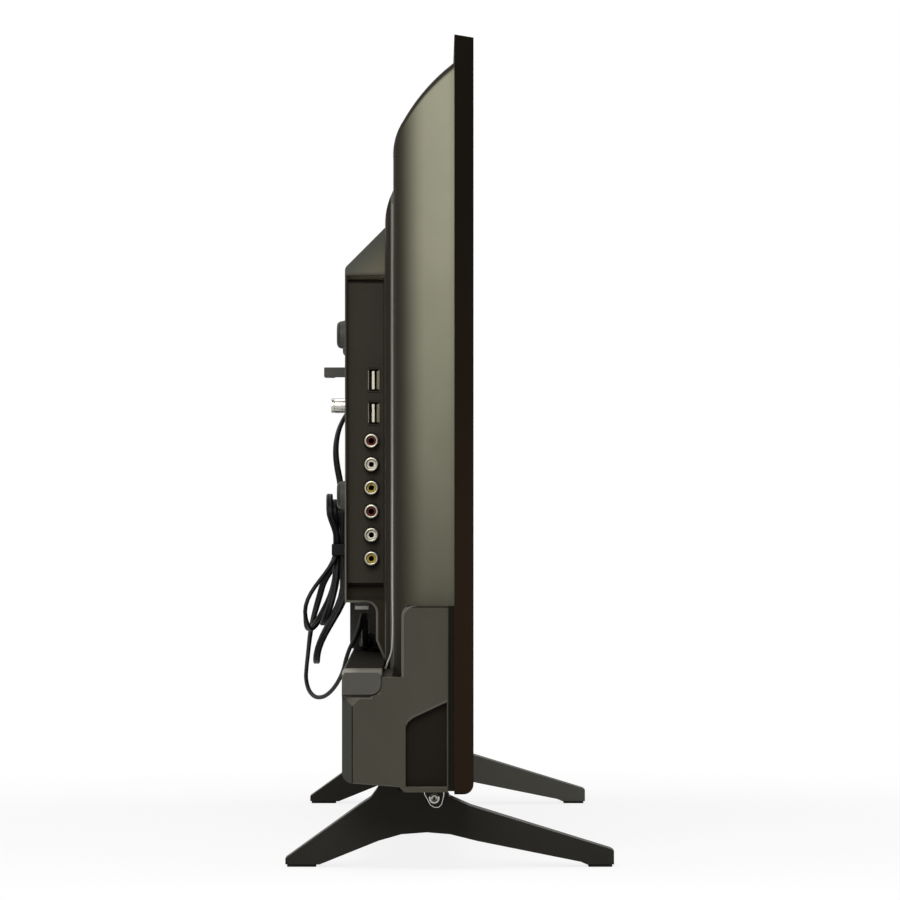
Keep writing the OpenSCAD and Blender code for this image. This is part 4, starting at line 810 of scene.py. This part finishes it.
# Painted light: the inner sides of the front arms are painted paler.
outer = abs(place.axis(0)) + ARM_TAPER * deep > ARM_INNER
lit_arm = (1 - outer) * (1 - deep.ramp(3 * ARM_START, ARM_START))
speck = noise(place, GRAIN)
feed(
    shader,
    Base_Color=lit_arm.between(mottled(clouded(place, speck), LEG_BLACK, 0.08), tone(LEG_LIT_PALE)),
    Roughness=rubbed(place, 0.45),
    Normal=bump(speck, 0.25, GRAIN_DEPTH),
)
pad_rubber = moulded("pad_rubber", "2b2a28", gloss=0.8, grain=1200, depth=0.4)
for leg in ("leg_left", "leg_right"):
    softened(leg, leg_black, roll=1.0 * MM, segments=3)
softened("foot_pads", pad_rubber, roll=0.4 * MM)
# Painted highlight: the lug's rolled edges take the nickel finish, standing for highlights on the black
# moulding.
softened("leg_lugs", leg_black, roll=0.5 * MM, rim=nickel)
dress(nickel, "leg_screws")

# Mains lead: a flat twin flex that leaves a strain relief, hangs to a tied hank, and drops in a long loop to
# a moulded plug that lies in the bay. It is one unbroken length of black vinyl with a groove down each side,
# and the tie is drawn close round the hank's waist. Lengths in this section are in mm, up to the mesh.
CORD_W, CORD_T = 4.2, 2.6
LEAD_ROUTE = [
    (-30, 56, 281), (-30, 59.5, 276.1), (-30, 63.4, 270.4), (-30, 67.2, 264.2), (-30, 70.1, 257.2),
    (-29.8, 71.6, 249.4), (-29.4, 71.8, 241.6), (-28.8, 70.9, 233.8), (-28.6, 69.4, 226), (-30, 68, 218.4),
]
TAIL_ROUTE = [
    (-39.6, 75.4, 168), (-36.6, 79.6, 160.5), (-33.6, 81.9, 153), (-30.9, 84, 146), (-29, 86, 138.7),
    (-28.6, 87.7, 131), (-29.4, 88.8, 123), (-31.2, 89.6, 115), (-34, 90.4, 107), (-38, 90.6, 99.6),
    (-43.6, 88.6, 92.6), (-51, 84.4, 88.8), (-59.6, 79.2, 89.2), (-68.6, 74.6, 92.6), (-77.6, 70.8, 97.4),
    (-86.4, 67.8, 102.8), (-95, 65.6, 108.4), (-102.8, 63.9, 114.9), (-109, 61.4, 121.8), (-114.6, 58, 128),
    (-117.6, 55.2, 134.4), (-116, 53.4, 139.8), (-110.4, 52.7, 142.2), (-103.6, 52.6, 140.4),
    (-97.4, 52.6, 135.8), (-91.6, 52.6, 130.2), (-85.8, 52.6, 125.4), (-80, 52.6, 123.3), (-75, 52.6, 123.3),
]
TAIL_LEVEL, TAIL_TURN, TAIL_UPRIGHT = 11, 20, 24
HANK_X, WAIST_Z, WAIST_HALF = -52, 182, 1.7
HANK_STEP, START_TURN = 3.5, -0.1
LOOP_LOW, LOOP_UP = (65, 65, 46, 46), 28
BELLY_LOW, BELLY_UP = 27, 19
LAYER_Y = (66.4, 70.9)
HANG_LONG, HANG_START, HANG_RUN = 17.2, 22, 48
HANG_SPREAD, HANG_MIDDLE, HANG_DEPTH = 1.4, 1.25, 72
HANG_SHORT, HANG_LOW, HANG_POWER = 9.6, 49, 2.6
HANG_BOW, BOW_REACH, BOW_TWIST = 25.4, 42, ((3.27, 3.34), (3.44, 3.52))
LIFT_LAYER, LIFT_TURN, LIFT_START, LIFT_RUN = (3.1, -0.4), 2.8, 8, 17
HANK_LOOPS = len(LOOP_LOW)
LOOP_POINTS, ROUTE_STEPS, TURN_STEP = 64, 4, 0.0005
LAYER_SWITCH, BOW_START, STRAIGHT = 4, 1.5, 4
# Brings the peak of u * u * (1 - u) ** 3 to about 1
PART_SCALE = 28.9
CORD_BLACK, TIE_PULL = "161514", 0.82


def mix(a, b, t):
    return a + (b - a) * t


def ease(t):
    t = min(1, max(0, t))
    return t * t * (3 - 2 * t)


def loop_base(turn, low):
    """One loop as (across, up) from the waist, before the loops are spread side by side."""
    a = 2 * math.pi * turn
    lower = math.sin(a) > 0
    belly = BELLY_LOW if lower else BELLY_UP
    length = low if lower else LOOP_UP
    return Vector(((WAIST_HALF + belly * math.sin(a) ** 2) * math.cos(a), -length * math.sin(a)))


def hang(turn, drop, t):
    """Stand-off below the waist: the long loops part a little, and the last short one bows out."""
    u = min(1, drop / HANG_DEPTH)
    part = HANG_SPREAD * (HANG_MIDDLE - turn) * PART_SCALE * u * u * (1 - u) ** 3
    long_loop = HANG_LONG * ease((drop - HANG_START) / HANG_RUN) - part
    bow = (1 - math.cos(2 * math.pi * turn)) / 2 * ease(turn - HANK_LOOPS + BOW_START)
    short_loop = mix(HANG_SHORT * (drop / HANG_LOW) ** HANG_POWER, HANG_BOW * ease(drop / BOW_REACH), bow)
    return mix(long_loop, short_loop, t)


def hank_point(turn):
    """A point of the hank: loops a step apart that spiral in through one layer and out through the other."""
    t = ease((turn - HANK_LOOPS / 2) * LAYER_SWITCH + 0.5)
    low = LOOP_LOW[min(HANK_LOOPS - 1, max(0, math.floor(turn)))]
    base = loop_base(turn, low)
    along = loop_base(turn + TURN_STEP, low) - loop_base(turn - TURN_STEP, low)
    out = Vector((-along.y, along.x)).normalized()
    across, up = base + out * HANK_STEP * abs(HANK_LOOPS / 2 - turn)
    if up < 0:
        stand_off = hang(turn, -up, t)
    else:
        lift = mix(*LIFT_LAYER, t) + LIFT_TURN * (turn - HANK_LOOPS / 2)
        stand_off = lift * ease((up - LIFT_START) / LIFT_RUN)
    return Vector((HANK_X + across, mix(*LAYER_Y, t) + stand_off, WAIST_Z + up))


def through(points, steps):
    """A smooth run of points through a given route."""
    run = []
    for i in range(len(points) - 1):
        a, b = points[i], points[i + 1]
        before = points[i - 1] if i else 2 * a - b
        after = points[i + 2] if i + 2 < len(points) else 2 * b - a
        for k in range(steps):
            t = k / steps
            bend = (2 * before - 5 * a + 4 * b - after) * t * t + (3 * a - before - 3 * b + after) * t**3
            run.append(a + 0.5 * ((b - before) * t + bend))
    return run + [points[-1]]


hank_points = LOOP_POINTS * HANK_LOOPS
turns = [mix(START_TURN, HANK_LOOPS, i / hank_points) for i in range(hank_points + 1)]
hank = [hank_point(turn) for turn in turns]
hank_in = (hank[1] - hank[0]).normalized()
hank_out = (hank[-1] - hank[-2]).normalized()
hank_start = hank[0] - CORD_W * hank_in
hank_end = hank[-1] + CORD_W * hank_out
lead = through([Vector(p) for p in LEAD_ROUTE] + [hank_start - STRAIGHT * hank_in, hank_start], ROUTE_STEPS)
tail = through([hank_end, hank_end + STRAIGHT * hank_out] + [Vector(p) for p in TAIL_ROUTE], ROUTE_STEPS)
across_x, across_y = Vector((1, 0, 0)), Vector((0, 1, 0))
lead_wide = [mix(across_x, across_y, ease(i / (len(lead) - 1))) for i in range(len(lead))]
hank_wide = []
for turn in turns:
    into, out_of = (ease((turn - start) / (end - start)) for start, end in BOW_TWIST)
    twist = math.pi / 2 * (into - out_of)
    hank_wide.append(math.cos(twist) * across_y + math.sin(twist) * across_x)
tail_wide = []
for i in range(len(tail)):
    wide = mix(across_y, across_x, ease(i / ROUTE_STEPS / TAIL_LEVEL))
    upright = ease((i / ROUTE_STEPS - TAIL_TURN) / (TAIL_UPRIGHT - TAIL_TURN))
    tail_wide.append(mix(wide, -across_y, upright))
cord_path = lead[:-1] + [hank_start] + hank + tail
cord_wide = lead_wide[:-1] + [across_y] + hank_wide + tail_wide


def twin_outline(width, thickness, steps=7):
    """The flex's section: two round cores side by side, with a groove between them."""
    r = thickness / 2
    offset = width / 2 - r
    groove = math.acos(-offset / r)
    half = [mix(-groove, groove, k / (2 * steps)) for k in range(2 * steps + 1)]
    right = [(offset + r * math.cos(a), r * math.sin(a)) for a in half[:-1]]
    return right + [(-x, -y) for x, y in right]


section = twin_outline(CORD_W, CORD_T)
flex = bmesh.new()
rings = []
for i, centre in enumerate(cord_path):
    along = (cord_path[min(i + 1, len(cord_path) - 1)] - cord_path[max(i - 1, 0)]).normalized()
    wide = (cord_wide[i] - cord_wide[i].dot(along) * along).normalized()
    thick = along.cross(wide)
    rings.append([flex.verts.new((centre + wide * x + thick * y) * MM) for x, y in section])
for ring, following in zip(rings, rings[1:]):
    for k in range(len(section)):
        after = (k + 1) % len(section)
        flex.faces.new((ring[k], ring[after], following[after], following[k]))
flex.faces.new(list(reversed(rings[0])))
flex.faces.new(rings[-1])
bmesh.ops.recalc_face_normals(flex, faces=flex.faces)

cord_black = moulded("cord_black", CORD_BLACK, gloss=0.38, sheen=0.12, grain=900, depth=0.12)
mains_lead = piece_from(flex, "mains_lead", cord_black, "power_cord_hank", smooth=60)
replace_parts(mains_lead, "power_cord_lead", "power_cord_hank", "power_cord_tail")
softened("cord_grommet", cord_black, roll=0.25 * MM)
band = merged("cord_tie")
low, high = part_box("cord_tie")
bmesh.ops.scale(band, vec=(1, TIE_PULL, 1), space=Matrix.Translation(-(low + high) / 2), verts=band.verts)
tie = softened("cord_tie", cord_black, roll=1.5 * MM, segments=3, mesh=band)
plug = softened("power_plug", cord_black, roll=0.8 * MM, segments=3)
blades = softened("plug_blades", nickel, roll=0.25 * MM)
cord_length = sum((b - a).length for a, b in zip(cord_path, cord_path[1:])) * MM
[p * MM for p in cord_path]
